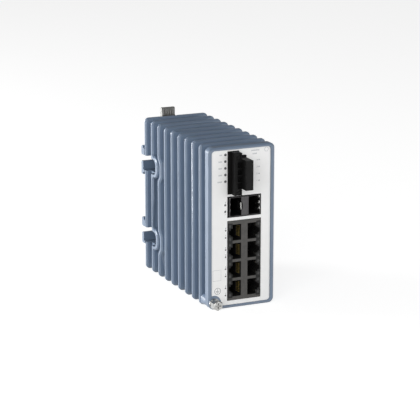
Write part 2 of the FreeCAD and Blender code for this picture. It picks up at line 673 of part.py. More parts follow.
def step_third_fin(body, name, floor):
    """Step the third fin from the rear forward round one channel."""
    middle = f"({floor} + {size('channel_height')} / 2)"
    jog = size("jog_depth")
    inner = f"({size('jog_height')} / 2)"
    outer = f"({inner} + {size('fin_thickness')} * (sqrt(2) - 1))"
    rear = f"({THIRD_FIN} + {size('fin_thickness')})"
    removed = side_sketch(body, f"{name}Gap", f"{CORE_WIDTH} / 2")
    outline(
        removed,
        [
            (f"{THIRD_FIN} - {jog} + {size('fin_thickness')}", f"{middle} - {inner}"),
            (f"{rear} + {size('fin_chamfer')}", f"{middle} - {inner} - {jog} - {size('fin_chamfer')}"),
            (f"{rear} + {size('fin_chamfer')}", f"{middle} + {inner} + {jog} + {size('fin_chamfer')}"),
            (f"{THIRD_FIN} - {jog} + {size('fin_thickness')}", f"{middle} + {inner}"),
        ],
    )
    gap = pocket(body, removed, size("body_width"), forwards=True)
    mirror(body, [gap], (origin_feature(body, "YZ_Plane"), [""]))
    stepped = side_sketch(body, f"{name}Step", "0")
    outline(
        stepped,
        [
            (THIRD_FIN, f"{middle} - {outer} - {jog}"),
            (rear, f"{middle} - {inner} - {jog}"),
            (f"{rear} - {jog}", f"{middle} - {inner}"),
            (f"{rear} - {jog}", f"{middle} + {inner}"),
            (rear, f"{middle} + {inner} + {jog}"),
            (THIRD_FIN, f"{middle} + {outer} + {jog}"),
            (f"{THIRD_FIN} - {jog}", f"{middle} + {outer}"),
            (f"{THIRD_FIN} - {jog}", f"{middle} - {outer}"),
        ],
    )
    pad(body, stepped, size("body_width"), middle=True)


def wrap_channel(body, name, floor):
    """Wrap the second fin from the rear round the end of one channel."""
    low = f"({floor} - {size('channel_skin')})"
    high = f"({floor} + {size('channel_height')} + {size('channel_skin')})"
    radius = f"({size('channel_corner')} + {size('channel_skin')})"
    wrap = side_sketch(body, f"{name}Wrap", "0")
    outline(
        wrap,
        [
            (f"{CAVITY_END} + {radius}", low),
            (SECOND_FIN, low),
            (SECOND_FIN, high),
            (
                f"{CAVITY_END} + {radius}",
                high,
                (f"{CAVITY_END} + {radius}", f"{high} - {radius}", False),
            ),
            (CAVITY_END, f"{high} - {radius}"),
            (
                CAVITY_END,
                f"{low} + {radius}",
                (f"{CAVITY_END} + {radius}", f"{low} + {radius}", False),
            ),
        ],
    )
    pad(body, wrap, size("body_width"), middle=True)


def bevel_fins(body):
    """Chamfer the rims of the fins, the steps and the wraps."""
    half = value(size("body_width")) / 2
    core_half = value(CORE_WIDTH) / 2
    groove = value(size("groove_depth"))
    height = value(size("body_height"))
    corner = value(size("corner_radius"))
    slack = value(size("screw_gap"))

    def on_rim(edge):
        box = edge.BoundBox
        if box.YLength < slack:
            aside = box.XMax > core_half + slack or box.XMin < -core_half - slack
            return aside or box.ZMin < groove - slack or box.ZMax > height - groove + slack
        outside = box.XLength < slack and abs(abs(box.XMax) - half) < slack
        return outside and box.ZMin > corner + slack and box.ZMax < height - corner - slack

    bevel_edges(body, size("fin_chamfer"), on_rim)


def hollow_housing(body):
    """The inner cavity and the three bays behind it."""
    cavity = front_sketch(body, "Cavity", size("bezel_depth"))
    rectangle(cavity, f"-{INNER_HALF}", INNER_BASE, INNER_HALF, INNER_TOP)
    pocket(body, cavity, f"{CAVITY_END} - {size('bezel_depth')}")
    bays = front_sketch(body, "Bays", CAVITY_END)
    wall = size("channel_wall")
    upper_ceiling = f"({UPPER_FLOOR} + {size('channel_height')})"
    for low, high in (
        (INNER_BASE, f"({LOWER_FLOOR} - {wall})"),
        (f"({LOWER_CEILING} + {wall})", f"({UPPER_FLOOR} - {wall})"),
        (f"({upper_ceiling} + {wall})", INNER_TOP),
    ):
        rectangle(bays, f"-{INNER_HALF}", low, INNER_HALF, high)
    pocket(body, bays, f"{BAY_END} - {CAVITY_END}")


def cut_channel(body, name, floor):
    """Cut one channel across the full width, open to the rear."""
    radius = size("channel_corner")
    ceiling = f"({floor} + {size('channel_height')})"
    channel = side_sketch(body, f"{name}Channel", "0")
    outline(
        channel,
        [
            (f"{CHANNEL_END} + {radius}", floor),
            (DEPTH, floor),
            (DEPTH, ceiling),
            (
                f"{CHANNEL_END} + {radius}",
                ceiling,
                (f"{CHANNEL_END} + {radius}", f"{ceiling} - {radius}", False),
            ),
            (CHANNEL_END, f"{ceiling} - {radius}"),
            (
                CHANNEL_END,
                f"{floor} + {radius}",
                (f"{CHANNEL_END} + {radius}", f"{floor} + {radius}", False),
            ),
        ],
    )
    pocket(body, channel, f"{size('body_width')} * 2", middle=True)


def add_lips(body, name, floor, nosed):
    """The two lips of one channel, with a rail hook below where it is nosed."""
    mouth = f"({floor} + {size('channel_height')} - {size('mouth_height')})"
    ceiling = f"({floor} + {size('channel_height')})"
    web = f"({floor} - {size('hook_web')})"
    tip = f"({web} - {size('hook_nose')})"
    nose = [(PLATE_FRONT, web), (PLATE_FRONT, tip), (PLATE_REAR, tip)]
    lower = side_sketch(body, f"{name}LowerLip", "0")
    outline(
        lower,
        [(DEPTH, web)]
        + (nose if nosed else [(PLATE_REAR, web)])
        + [(PLATE_REAR, mouth), (PLATE_FRONT, mouth), (PLATE_FRONT, floor), (DEPTH, floor)],
    )
    pad(body, lower, size("body_width"), middle=True)
    shoulder = f"({ceiling} + {size('lip_web')})"
    crest = f"({shoulder} + {size('hook_nose')})"
    upper = side_sketch(body, f"{name}UpperLip", "0")
    outline(
        upper,
        [
            (DEPTH, ceiling),
            (PLATE_REAR, ceiling),
            (PLATE_REAR, crest),
            (PLATE_FRONT, crest),
            (PLATE_FRONT, shoulder),
            (DEPTH, shoulder),
        ],
    )
    pad(body, upper, size("body_width"), middle=True)


def cut_clip_seat(body):
    """The slot of the clip slider, its window, the spring's pocket and the retainer's holes."""
    left = f"({size('clip_across')} - {CLIP_TUNNEL} / 2)"
    right = f"({size('clip_across')} + {CLIP_TUNNEL} / 2)"
    lowest = f"({size('clip_foot')} - {size('clip_travel')} - {size('clip_gap')})"
    slot = front_sketch(body, "ClipSlot", f"{DEPTH} - {CLIP_SLOT}")
    rectangle(slot, left, lowest, right, f"({size('body_height')} + {size('clip_gap')})")
    pocket(body, slot, CLIP_SLOT)
    mouth = f"({LOWER_CEILING} - {size('mouth_height')})"
    window = front_sketch(body, "ClipWindow", DEPTH)
    rectangle(window, left, mouth, right, f"({LOWER_TIP} + {size('clip_gap')})")
    pocket(body, window, f"{PLATE_REAR} - {DEPTH} + {size('clip_gap')}")
    bottom = f"({SPRING_LINE} - {SPRING_BACK} - {size('spring_play')})"
    nest = front_sketch(body, "SpringNest", bottom)
    rectangle(
        nest,
        f"({size('clip_across')} - {SPRING_ROOM} / 2)",
        size("spring_base"),
        f"({size('clip_across')} + {SPRING_ROOM} / 2)",
        f"({size('spring_base')} + {size('spring_length')} + {size('spring_play')})",
    )
    pocket(body, nest, f"{DEPTH} - {bottom}")
    holes = front_sketch(body, "RetainerHoles", DEPTH)
    radius = f"({size('retainer_shank')} + {size('screw_gap')})"
    for side in ("-", "+"):
        across = f"{size('clip_across')} {side} {RETAINER_SPREAD}"
        polygon(holes, across, RETAINER_LINE, radius, SHANK_SIDES)
    pocket(body, holes, f"{size('retainer_bite')} + {size('screw_relief')}", forwards=True)


def ground_hole_outline(sketch):
    """The hole of the grounding screw."""
    radius = f"({size('ground_shank')} + {size('screw_gap')})"
    polygon(sketch, size("ground_across"), size("ground_height"), radius, SHANK_SIDES)


def add_ground_boss(body):
    """The boss of the grounding screw in front of the first fin."""
    ground = front_sketch(body, "GroundBoss", size("bezel_depth"))
    circle(ground, size("ground_across"), size("ground_height"), size("ground_boss"))
    pad(body, ground, f"{size('first_fin_front')} - {size('bezel_depth')}", backwards=True)
    hole = front_sketch(body, "GroundHole", size("bezel_depth"))
    ground_hole_outline(hole)
    tip = f"({GROUND_SEAT} + {size('ground_length')} + {size('screw_relief')})"
    pocket(body, hole, f"{tip} - {size('bezel_depth')}")


def add_inner_bosses(body):
    """The bosses of the bezel screws and the bosses of the main board."""
    corners = [
        (f"{side}{size('bezel_screw_across')}", size(level))
        for side in ("-", "")
        for level in ("bezel_screw_low", "bezel_screw_high")
    ]
    bosses = front_sketch(body, "BezelBosses", size("bezel_depth"))
    holes = front_sketch(body, "BezelBossHoles", size("bezel_depth"))
    shank = f"({size('bezel_screw_shank')} + {size('screw_gap')})"
    for across, height in corners:
        polygon(bosses, across, height, size("bezel_boss"), SHANK_SIDES)
        polygon(holes, across, height, shank, SHANK_SIDES)
    pad(body, bosses, size("bezel_boss_length"), backwards=True)
    seat = f"({FACE_FRONT} + {size('bezel_screw_height')})"
    tip = f"({seat} + {size('bezel_screw_length')} + {size('screw_relief')})"
    pocket(body, holes, f"{tip} - {size('bezel_depth')}")
    board = side_sketch(body, "BoardBosses", BOARD_RIGHT)
    board_holes = side_sketch(body, "BoardBossHoles", BOARD_RIGHT)
    for depth, height in board_screw_places():
        polygon(board, depth, height, size("board_boss"), SHANK_SIDES)
        polygon(board_holes, depth, height, BOARD_HOLE, SHANK_SIDES)
    pad(body, board, f"{INNER_HALF} - {BOARD_RIGHT} + {size('wall')} / 2")
    bite = f"({size('board_screw_bite')} + {size('screw_relief')})"
    pocket(body, board_holes, bite, forwards=True)


def board_screw_places():
    """Depth and height of each board screw."""
    low = f"({BOARD_BASE} + {size('board_screw_edge')})"
    high = f"({BOARD_TOP} - {size('board_screw_edge')})"
    return [
        (size(depth), height)
        for depth in ("board_screw_front", "board_screw_rear")
        for height in (low, high)
    ]


def finned_housing(document):
    """The one-piece casting: fins, channels, rail hooks and bosses."""
    body = new_body(document, "finned_housing")
    add_fins(body)
    for name, floor in (("Upper", UPPER_FLOOR), ("Lower", LOWER_FLOOR)):
        step_third_fin(body, name, floor)
        wrap_channel(body, name, floor)
    hollow_housing(body)
    add_inner_bosses(body)
    bevel_fins(body)
    for name, floor, nosed in (("Upper", UPPER_FLOOR, True), ("Lower", LOWER_FLOOR, False)):
        cut_channel(body, name, floor)
        add_lips(body, name, floor, nosed)
    rear = value(PLATE_REAR)
    slack = value(size("screw_gap"))

    def on_lip(edge):
        box = edge.BoundBox
        return abs(box.YMin - rear) < slack and box.YLength < slack and box.ZLength < slack

    bevel_edges(body, size("lip_chamfer"), on_lip)
    cut_clip_seat(body)
    add_ground_boss(body)
    return body


# Front bezel and overlay

def recess_outline(sketch, inset):
    """The overlay's outline: rounded corners and a scallop round the grounding screw."""
    half = f"({size('body_width')} / 2 - {size('rim_width')} - {inset})"
    right = f"({size('body_width')} / 2 - {size('rim_right')} - {inset})"
    base = f"({size('rim_width')} + {inset})"
    top = f"({size('body_height')} - {size('rim_width')} - {inset})"
    radius = f"({size('recess_corner')} - {inset})"
    across = size("ground_across")
    height = size("ground_height")
    scallop = f"({size('ground_scallop')} + {inset})"
    side_height = f"({height} + sqrt({scallop} ^ 2 - ({half} + {across}) ^ 2))"
    base_across = f"({across} + sqrt({scallop} ^ 2 - ({height} - {base}) ^ 2))"
    outline(
        sketch,
        [
            (base_across, base),
            (f"{right} - {radius}", base, (f"{right} - {radius}", f"{base} + {radius}", False)),
            (right, f"{base} + {radius}"),
            (right, f"{top} - {radius}", (f"{right} - {radius}", f"{top} - {radius}", False)),
            (f"{right} - {radius}", top),
            (f"-{half} + {radius}", top, (f"-{half} + {radius}", f"{top} - {radius}", False)),
            (f"-{half}", f"{top} - {radius}"),
            (f"-{half}", side_height, (across, height, True)),
        ],
    )


def terminal_outline(sketch, gap, right_gap):
    """The outline of the terminal header's flange."""
    left = f"({size('terminal_left')} - {gap})"
    middle = f"({FLANGE_RIGHT} + {right_gap})"
    right = f"({HEADER_RIGHT} + {right_gap})"
    centre = size("terminal_height")
    tall = f"({size('header_height')} / 2 + {gap})"
    short = f"({size('header_body_height')} / 2 + {gap})"
    outline(
        sketch,
        [
            (left, f"{centre} - {tall}"),
            (middle, f"{centre} - {tall}"),
            (middle, f"{centre} - {short}"),
            (right, f"{centre} - {short}"),
            (right, f"{centre} + {short}"),
            (middle, f"{centre} + {short}"),
            (middle, f"{centre} + {tall}"),
            (left, f"{centre} + {tall}"),
        ],
    )


def connector_outlines(sketch):
    """The cut-outs for the terminal, the fibre cage and the jack block."""
    gap = size("cutout_gap")
    terminal_outline(sketch, gap, gap)
    left = f"({size('block_left')} - {gap})"
    right = f"({BLOCK_RIGHT} + {gap})"
    cage_top = f"({size('cage_base')} + {size('cage_height')} + {gap})"
    rectangle(sketch, left, f"({size('cage_base')} - {gap})", right, cage_top)
    jack_top = f"({size('jack_base')} + {JACK_HEIGHT} + {gap})"
    rectangle(sketch, left, f"({size('jack_base')} - {gap})", right, jack_top)


def cut_light_holes(body):
    """Cut the rows of light holes and the notch for the end of the status lights' bar."""
    status = front_sketch(body, "StatusHole", FACE_FRONT)
    gap = f"2 * {size('light_gap')}"
    square(status, size("status_across"), size("status_base"), f"({size('status_light')} + {gap})")
    hole = pocket(body, status, size("bezel_face"))
    count = size("status_count")
    repeat(body, [hole], upwards(status), span(size("status_pitch"), count), count)
    small = f"({size('small_light')} + {gap})"
    fibre = front_sketch(body, "FibreLightHole", FACE_FRONT)
    square(fibre, size("status_across"), size("fibre_light_base"), small)
    hole = pocket(body, fibre, size("bezel_face"))
    count = size("fibre_light_count")
    repeat(body, [hole], upwards(fibre), span(size("fibre_light_pitch"), count), count)
    ports = front_sketch(body, "PortLightHoles", FACE_FRONT)
    base = size("port_light_base")
    square(ports, size("port_light_across"), base, small)
    square(ports, size("port_light_across"), f"{base} + {size('port_light_gap')}", small)
    hole = pocket(body, ports, size("bezel_face"))
    count = size("jack_rows")
    repeat(body, [hole], upwards(ports), span(size("port_light_pitch"), count), count)
    notch = front_sketch(body, "BarNotch", FACE_REAR)
    half = f"({size('status_light')} / 2 + {size('light_bar_room')})"
    rectangle(
        notch,
        f"({size('status_across')} - {half})",
        f"({size('status_base')} - {half})",
        f"({size('status_across')} + {half})",
        f"({STATUS_TOP} + {size('light_bar_end')} + {half})",
    )
    pocket(body, notch, f"{size('bezel_depth')} - {FACE_REAR}")


def front_bezel(document):
    """The bezel: a chamfered rim, a recess for the overlay, cut-outs and screw bosses."""
    body = new_body(document, "front_bezel")
    plate = front_sketch(body, "Plate", "0")
    shared_outline(plate)
    pad(body, plate, size("bezel_depth"), backwards=True)
    slack = value(size("screw_gap"))

    def on_front(edge):
        return abs(edge.BoundBox.YMax) < slack

    bevel_edges(body, size("bezel_chamfer"), on_front)
    recess = front_sketch(body, "Recess", "0")
    recess_outline(recess, "0")
    pocket(body, recess, size("recess_depth"))
    hollow = front_sketch(body, "Hollow", FACE_REAR)
    rectangle(hollow, f"-{INNER_HALF}", INNER_BASE, INNER_HALF, INNER_TOP)
    pocket(body, hollow, f"{size('bezel_depth')} - {FACE_REAR}")
    bosses = front_sketch(body, "ScrewBosses", FACE_REAR)
    shanks = front_sketch(body, "ScrewHoles", FACE_FRONT)
    heads = front_sketch(body, "HeadSeats", FACE_FRONT)
    shank = f"({size('bezel_screw_shank')} + {size('screw_gap')})"
    head = f"({size('bezel_screw_head')} + {size('screw_gap')})"
    for side in ("-", ""):
        for level in ("bezel_screw_low", "bezel_screw_high"):
            across = f"{side}{size('bezel_screw_across')}"
            polygon(bosses, across, size(level), size("bezel_boss"), SHANK_SIDES)
            polygon(shanks, across, size(level), shank, SHANK_SIDES)
            polygon(heads, across, size(level), head, SHANK_SIDES)
    pad(body, bosses, f"{size('bezel_depth')} - {FACE_REAR}", backwards=True)
    pocket(body, shanks, size("bezel_depth"))
    pocket(body, heads, size("bezel_screw_height"))
    openings = front_sketch(body, "Openings", "0")
    connector_outlines(openings)
    pocket(body, openings, size("bezel_depth"))
    ground = front_sketch(body, "GroundHole", "0")
    ground_hole_outline(ground)
    pocket(body, ground, size("bezel_depth"))
    cut_light_holes(body)
    return body


def front_overlay(document):
    """The thin printed sheet in the bezel's recess."""
    body = new_body(document, "front_overlay")
    sheet = front_sketch(body, "Film", OVERLAY_FRONT)
    recess_outline(sheet, size("overlay_gap"))
    pad(body, sheet, size("overlay_thickness"), backwards=True)
    openings = front_sketch(body, "Openings", OVERLAY_FRONT)
    connector_outlines(openings)
    pocket(body, openings, size("overlay_thickness"))
    return body


def light_pipe(document, label, across, heights, light):
    """One clear moulding: a bar behind the bezel with a pin for each light."""
    front = value(FACE_FRONT)
    bar_front = value(FACE_REAR) + value(size("light_bar_gap"))
    thickness = value(size("light_bar"))
    side = value(light)
    reach = side / 2 + value(size("light_bar_end"))
    low = min(heights) - reach
    left = value(across) - side / 2
    bar = Part.makeBox(
        side, thickness, max(heights) + reach - low, FreeCAD.Vector(left, bar_front, low)
    )
    pins = [
        Part.makeBox(
            side,
            bar_front + thickness / 2 - front,
            side,
            FreeCAD.Vector(left, front, height - side / 2),
        )
        for height in heights
    ]
    return new_piece(document, label, bar.multiFuse(pins).removeSplitter())


def row_heights(base, pitch, count):
    """Heights of a row of like things."""
    return [value(base) + index * value(pitch) for index in range(round(value(count)))]


def light_pipes(document):
    """The three light pipes behind the bezel."""
    rows = row_heights(size("port_light_base"), size("port_light_pitch"), size("jack_rows"))
    gap = value(size("port_light_gap"))
    ports = rows + [height + gap for height in rows]
    small = size("small_light")
    return [
        light_pipe(
            document,
            "status_light_pipe",
            size("status_across"),
            row_heights(size("status_base"), size("status_pitch"), size("status_count")),
            size("status_light"),
        ),
        light_pipe(
            document,
            "fibre_light_pipe",
            size("status_across"),
            row_heights(
                size("fibre_light_base"), size("fibre_light_pitch"), size("fibre_light_count")
            ),
            small,
        ),
        light_pipe(document, "port_light_pipe", size("port_light_across"), ports, small),
    ]


# Power terminal

def terminal_header(document):
    """The header: a flange in the bezel, a body behind it and a socket for the plug."""
    body = new_body(document, "terminal_header")
    flange = front_sketch(body, "Flange", f"-{size('header_front')}")
    terminal_outline(flange, "0", "0")
    pad(body, flange, f"{size('header_front')} + {size('header_flange')}", backwards=True)
    block = front_sketch(body, "Block", size("header_flange"))
    centre = size("terminal_height")
    half = f"({size('header_body_height')} / 2)"
    rectangle(
        block, size("terminal_left"), f"{centre} - {half}", HEADER_RIGHT, f"{centre} + {half}"
    )
    pad(body, block, f"{size('header_depth')} - {size('header_flange')}", backwards=True)
    socket = front_sketch(body, "Socket", f"-{size('header_front')}")
    tall = f"({size('plug_tower_height')} / 2)"
    rectangle(socket, PLUG_LEFT, f"{centre} - {tall}", TOWER_RIGHT, f"{centre} + {tall}")
    pocket(
        body, socket, f"{size('header_front')} + {size('header_depth')} - {size('header_floor')}"
    )
    screws = front_sketch(body, "FlangeHoles", f"-{size('header_front')}")
    radius = f"({size('flange_screw_shank')} + {size('screw_gap')})"
    for side in ("-", "+"):
        height = f"{centre} {side} {size('flange_screw_offset')}"
        polygon(screws, STEP_MIDDLE, height, radius, SHANK_SIDES)
    pocket(body, screws, f"{size('header_front')} + {size('header_flange')}")
    pins = front_sketch(body, "PinHole", f"{size('header_depth')} - {size('header_floor')}")
    half_pin = f"({size('pin_size')} / 2 + {size('screw_gap')})"
    rectangle(
        pins,
        f"{PIN_ACROSS} - {half_pin}",
        f"{FIRST_POLE} - {half_pin}",
        f"{PIN_ACROSS} + {half_pin}",
        f"{FIRST_POLE} + {half_pin}",
    )
    hole = pocket(body, pins, size("header_floor"))
    count = size("pole_count")
    repeat(body, [hole], upwards(pins), span(size("pole_pitch"), count), count)
    return body


def terminal_pins(document):
    """The bent pins from the plug to the power board."""
    side = value(size("pin_size"))
    front = value(size("pin_front"))
    turn = value(PIN_TURN)
    left = value(PIN_ACROSS) - side / 2
    reach = value(POWER_RIGHT) + value(size("pin_tail")) - left
    pins = []
    for height in row_heights(FIRST_POLE, size("pole_pitch"), size("pole_count")):
        corner = FreeCAD.Vector(left, 0, height - side / 2)
        along = Part.makeBox(side, turn - front, side, corner + FreeCAD.Vector(0, front, 0))
        across = Part.makeBox(reach, side, side, corner + FreeCAD.Vector(0, turn - side, 0))
        pins.append(along.fuse(across).removeSplitter())
    return new_piece(document, "terminal_pins", Part.makeCompound(pins))


def terminal_plug(document):
    """The plug: a flanged step with wire entries, a tower of poles and an insert with sockets."""
    body = new_body(document, "terminal_plug")
    centre = size("terminal_height")
    seat = f"-({size('header_front')} + {size('plug_gap')})"
    half = f"({size('plug_height')} / 2)"
    step = front_sketch(body, "Step", f"-{size('plug_step_front')}")
    rectangle(step, PLUG_LEFT, f"{centre} - {half}", TOWER_LEFT, f"{centre} + {half}")
    pad(body, step, f"{size('plug_step_front')} + {seat}", backwards=True)
    tall = f"({size('plug_tower_height')} / 2)"
    tower = front_sketch(body, "Tower", f"-{size('plug_tower_front')}")
    rectangle(tower, TOWER_LEFT, f"{centre} - {tall}", TOWER_RIGHT, f"{centre} + {tall}")
    pad(body, tower, f"{size('plug_tower_front')} + {seat}", backwards=True)
    gap = size("plug_gap")
    insert = front_sketch(body, "Insert", seat)
    rectangle(
        insert,
        f"{PLUG_LEFT} + {gap}",
        f"{centre} - {tall} + {gap}",
        f"{TOWER_RIGHT} - {gap}",
        f"{centre} + {tall} - {gap}",
    )
    pad(body, insert, f"{size('plug_insert')} - {seat}", backwards=True)
    cut_wire_entries(body)
    cut_plug_screw_seats(body)
    return body


def cut_wire_entries(body):
    """Wire entries, pole grooves and pin sockets, one of each per pole."""
    count = size("pole_count")
    row = span(size("pole_pitch"), count)
    entry = front_sketch(body, "WireEntry", f"-{size('plug_step_front')}")
    low = f"({FIRST_POLE} - {size('wire_window_drop')} - {size('wire_window_height')} / 2)"
    rectangle(
        entry,
        f"{TOWER_LEFT} - {size('wire_window_width')}",
        low,
        TOWER_LEFT,
        f"{low} + {size('wire_window_height')}",
    )
    hole = pocket(body, entry, size("wire_window_depth"))
    repeat(body, [hole], upwards(entry), row, count)
    groove = front_sketch(body, "PoleGroove", f"-{size('plug_tower_front')}")
    between = f"({FIRST_POLE} + {size('pole_pitch')} / 2)"
    wide = size("pole_groove")
    rectangle(
        groove,
        f"{TOWER_LEFT} - {wide}",
        f"{between} - {wide} / 2",
        f"{TOWER_LEFT} + {wide}",
        f"{between} + {wide} / 2",
    )
    cut = pocket(body, groove, f"{size('plug_tower_front')} - {size('plug_step_front')}")
    grooves = f"({count} - 1)"
    repeat(body, [cut], upwards(groove), span(size("pole_pitch"), grooves), grooves)
    socket = front_sketch(body, "PinSocket", f"{size('pin_front')} - {size('plug_gap')}")
    half = f"({size('pin_socket')} / 2)"
    rectangle(
        socket,
        f"{PIN_ACROSS} - {half}",
        f"{FIRST_POLE} - {half}",
        f"{PIN_ACROSS} + {half}",
        f"{FIRST_POLE} + {half}",
    )
    hole = pocket(body, socket, size("plug_insert"))
    repeat(body, [hole], upwards(socket), row, count)


def cut_plug_screw_seats(body):
    """Seats for the flange screws and, on the tower's right side, for the clamp screws."""
    centre = size("terminal_height")
    heads = front_sketch(body, "FlangeSeats", f"-{size('plug_step_front')}")
    shanks = front_sketch(body, "FlangeShanks", f"-{size('plug_step_front')}")
    head = f"({size('flange_screw_head')} + {size('plug_gap')})"
    shank = f"({size('flange_screw_shank')} + {size('screw_gap')})"
    for side in ("-", "+"):
        height = f"{centre} {side} {size('flange_screw_offset')}"
        polygon(heads, STEP_MIDDLE, height, head, HEAD_SIDES)
        polygon(shanks, STEP_MIDDLE, height, shank, SHANK_SIDES)
    pocket(body, heads, f"{size('flange_screw_sink')} + {size('flange_screw_height')}")
    pocket(body, shanks, size("plug_step_front"))
    depth = f"(-{size('plug_tower_front')} + {size('clamp_setback')})"
    seat = side_sketch(body, "ClampSeat", TOWER_RIGHT)
    radius = f"({size('clamp_head')} + {size('screw_gap')})"
    polygon(seat, depth, FIRST_POLE, radius, HEAD_SIDES)
    bore = pocket(body, seat, f"{size('clamp_sink')} + {size('clamp_length')}")
    count = size("pole_count")
    repeat(body, [bore], upwards(seat), span(size("pole_pitch"), count), count)


def wire_clamps(document):
    """The metal clamps at the bottom of the wire entries."""
    width = value(size("wire_window_width"))
    height = value(size("wire_window_height"))
    thickness = value(size("clamp_thickness"))
    clamps = []
    for pole in row_heights(FIRST_POLE, size("pole_pitch"), size("pole_count")):
        middle = pole - value(size("wire_window_drop"))
        corner = FreeCAD.Vector(
            value(TOWER_LEFT) - width, value(WIRE_FLOOR) - thickness, middle - height / 2
        )
        clamps.append(Part.makeBox(width, thickness, height, corner))
    return new_piece(document, "wire_clamps", Part.makeCompound(clamps))


def terminal_screws(document):
    """The clamp screws on the tower's side and the two flange screws."""
    across = value(TOWER_RIGHT) - value(size("clamp_sink"))
    depth = value(size("clamp_setback")) - value(size("plug_tower_front"))
    clamps = [
        prism(
            FreeCAD.Vector(across, depth, height),
            FreeCAD.Vector(1, 0, 0),
            value(size("clamp_head")),
            HEAD_SIDES,
            -value(size("clamp_length")),
            0,
        )
        for height in row_heights(FIRST_POLE, size("pole_pitch"), size("pole_count"))
    ]
    head_height = value(size("flange_screw_height"))
    seat = value(size("flange_screw_sink")) + head_height - value(size("plug_step_front"))
    flanges = [
        screw(
            FreeCAD.Vector(
                value(STEP_MIDDLE),
                seat,
                value(size("terminal_height")) + side * value(size("flange_screw_offset")),
            ),
            FreeCAD.Vector(0, -1, 0),
            value(size("flange_screw_head")),
            head_height,
            value(size("flange_screw_shank")),
            value(size("header_flange")) - seat - value(size("plug_gap")),
            HEAD_SIDES,
        )
        for side in (-1, 1)
    ]
    return [
        new_piece(document, "clamp_screws", Part.makeCompound(clamps)),
        new_piece(document, "flange_screws", Part.makeCompound(flanges)),
    ]


# Fibre cage

def fibre_cage(document):
    """The two-port cage with its latch window and spring fingers."""
    body = new_body(document, "fibre_cage")
    top = f"({size('cage_base')} + {size('cage_height')})"
    shell = front_sketch(body, "Shell", size("block_front"))
    rectangle(shell, size("block_left"), size("cage_base"), BLOCK_RIGHT, top)
    pad(body, shell, size("cage_depth"), backwards=True)
    ports = front_sketch(body, "Ports", size("block_front"))
    low = f"({size('cage_base')} + {size('cage_sheet')})"
    high = f"({top} - {size('cage_sheet')})"
    rectangle(ports, FIBRE_LEFT, low, FIBRE_DIVIDER, high)
    rectangle(ports, f"{FIBRE_RIGHT} - {size('fibre_width')}", low, FIBRE_RIGHT, high)
    pocket(body, ports, f"{size('cage_depth')} - {size('cage_sheet')}")
    latch = front_sketch(body, "LatchWindow", size("block_front"))
    half = f"({size('latch_window')} / 2)"
    outline(
        latch,
        [
            (FIBRE_DIVIDER, f"{CAGE_MIDDLE} - {half}"),
            (
                f"{FIBRE_DIVIDER} + {size('latch_window_depth')}",
                f"{CAGE_MIDDLE} - {half} + {size('latch_window_depth')}",
            ),
            (
                f"{FIBRE_DIVIDER} + {size('latch_window_depth')}",
                f"{CAGE_MIDDLE} + {half} - {size('latch_window_depth')}",
            ),
            (FIBRE_DIVIDER, f"{CAGE_MIDDLE} + {half}"),
        ],
    )
    pocket(body, latch, size("latch_window_length"))
    add_fingers(body)
    return body


def add_fingers(body):
    """Spring fingers on the outer side of each port."""
    count = size("finger_count")
    row = span(size("finger_pitch"), count)
    base = f"({CAGE_MIDDLE} - {row} / 2 - {size('finger_height')} / 2)"
    front = f"({size('block_front')} + {size('cage_sheet')})"
    middle = f"({front} + {size('finger_peak')})"
    rear = f"({front} + {size('finger_length')})"
    for name, wall, towards in (("Left", FIBRE_LEFT, "+"), ("Right", FIBRE_RIGHT, "-")):
        finger = top_sketch(body, f"{name}Finger", base)
        outline(
            finger,
            [
                (wall, front),
                (wall, rear),
                (f"{wall} {towards} {size('finger_rise')}", middle),
            ],
        )
        ramp = pad(body, finger, size("finger_height"))
        axis = (origin_feature(body, "Z_Axis"), [""])
        repeat(body, [ramp], axis, row, count)


def fibre_connectors(document):
    """The card-edge connector at the end of each fibre port."""
    depth = value(size("fibre_socket_depth"))
    height = value(size("fibre_socket_height"))
    width = value(size("fibre_socket_width"))
    slot = value(size("board_thickness"))
    rear = value(CAGE_REAR) - value(size("cage_sheet"))
    lefts = [value(FIBRE_DIVIDER) - width, value(FIBRE_RIGHT) - width]
    sockets = []
    for left in lefts:
        corner = FreeCAD.Vector(left, rear - depth, value(CAGE_MIDDLE) - height / 2)
        block = Part.makeBox(width, depth, height, corner)
        card = Part.makeBox(
            slot,
            value(size("fibre_slot_depth")),
            height - 2 * slot,
            corner + FreeCAD.Vector((width - slot) / 2, 0, slot),
        )
        sockets.append(block.cut(card))
    return new_piece(document, "fibre_connectors", Part.makeCompound(sockets))


# Jack block

def jack_outline(sketch, left_column):
    """The opening of the lowest jack of a column, with its two-step latch notch."""
    step = size("latch_step")
    if left_column:
        edge = f"({size('block_left')} + {size('jack_outer')})"
        inward = "+"
        outward = "-"
    else:
        edge = f"({BLOCK_RIGHT} - {size('jack_outer')})"
        inward = "-"
        outward = "+"
    row = JACK_FIRST_ROW
    tall = f"({size('jack_opening_height')} / 2)"
    wide = f"({size('latch_wide')} / 2)"
    narrow = f"({size('latch_narrow')} / 2)"
    far = f"{edge} {inward} {size('jack_opening_width')}"
    first = f"{edge} {outward} {step}"
    second = f"{edge} {outward} 2 * {step}"
    outline(
        sketch,
        [
            (far, f"{row} - {tall}"),
            (far, f"{row} + {tall}"),
            (edge, f"{row} + {tall}"),
            (edge, f"{row} + {wide}"),
            (first, f"{row} + {wide}"),
            (first, f"{row} + {narrow}"),
            (second, f"{row} + {narrow}"),
            (second, f"{row} - {narrow}"),
            (first, f"{row} - {narrow}"),
            (first, f"{row} - {wide}"),
            (edge, f"{row} - {wide}"),
            (edge, f"{row} - {tall}"),
        ],
    )


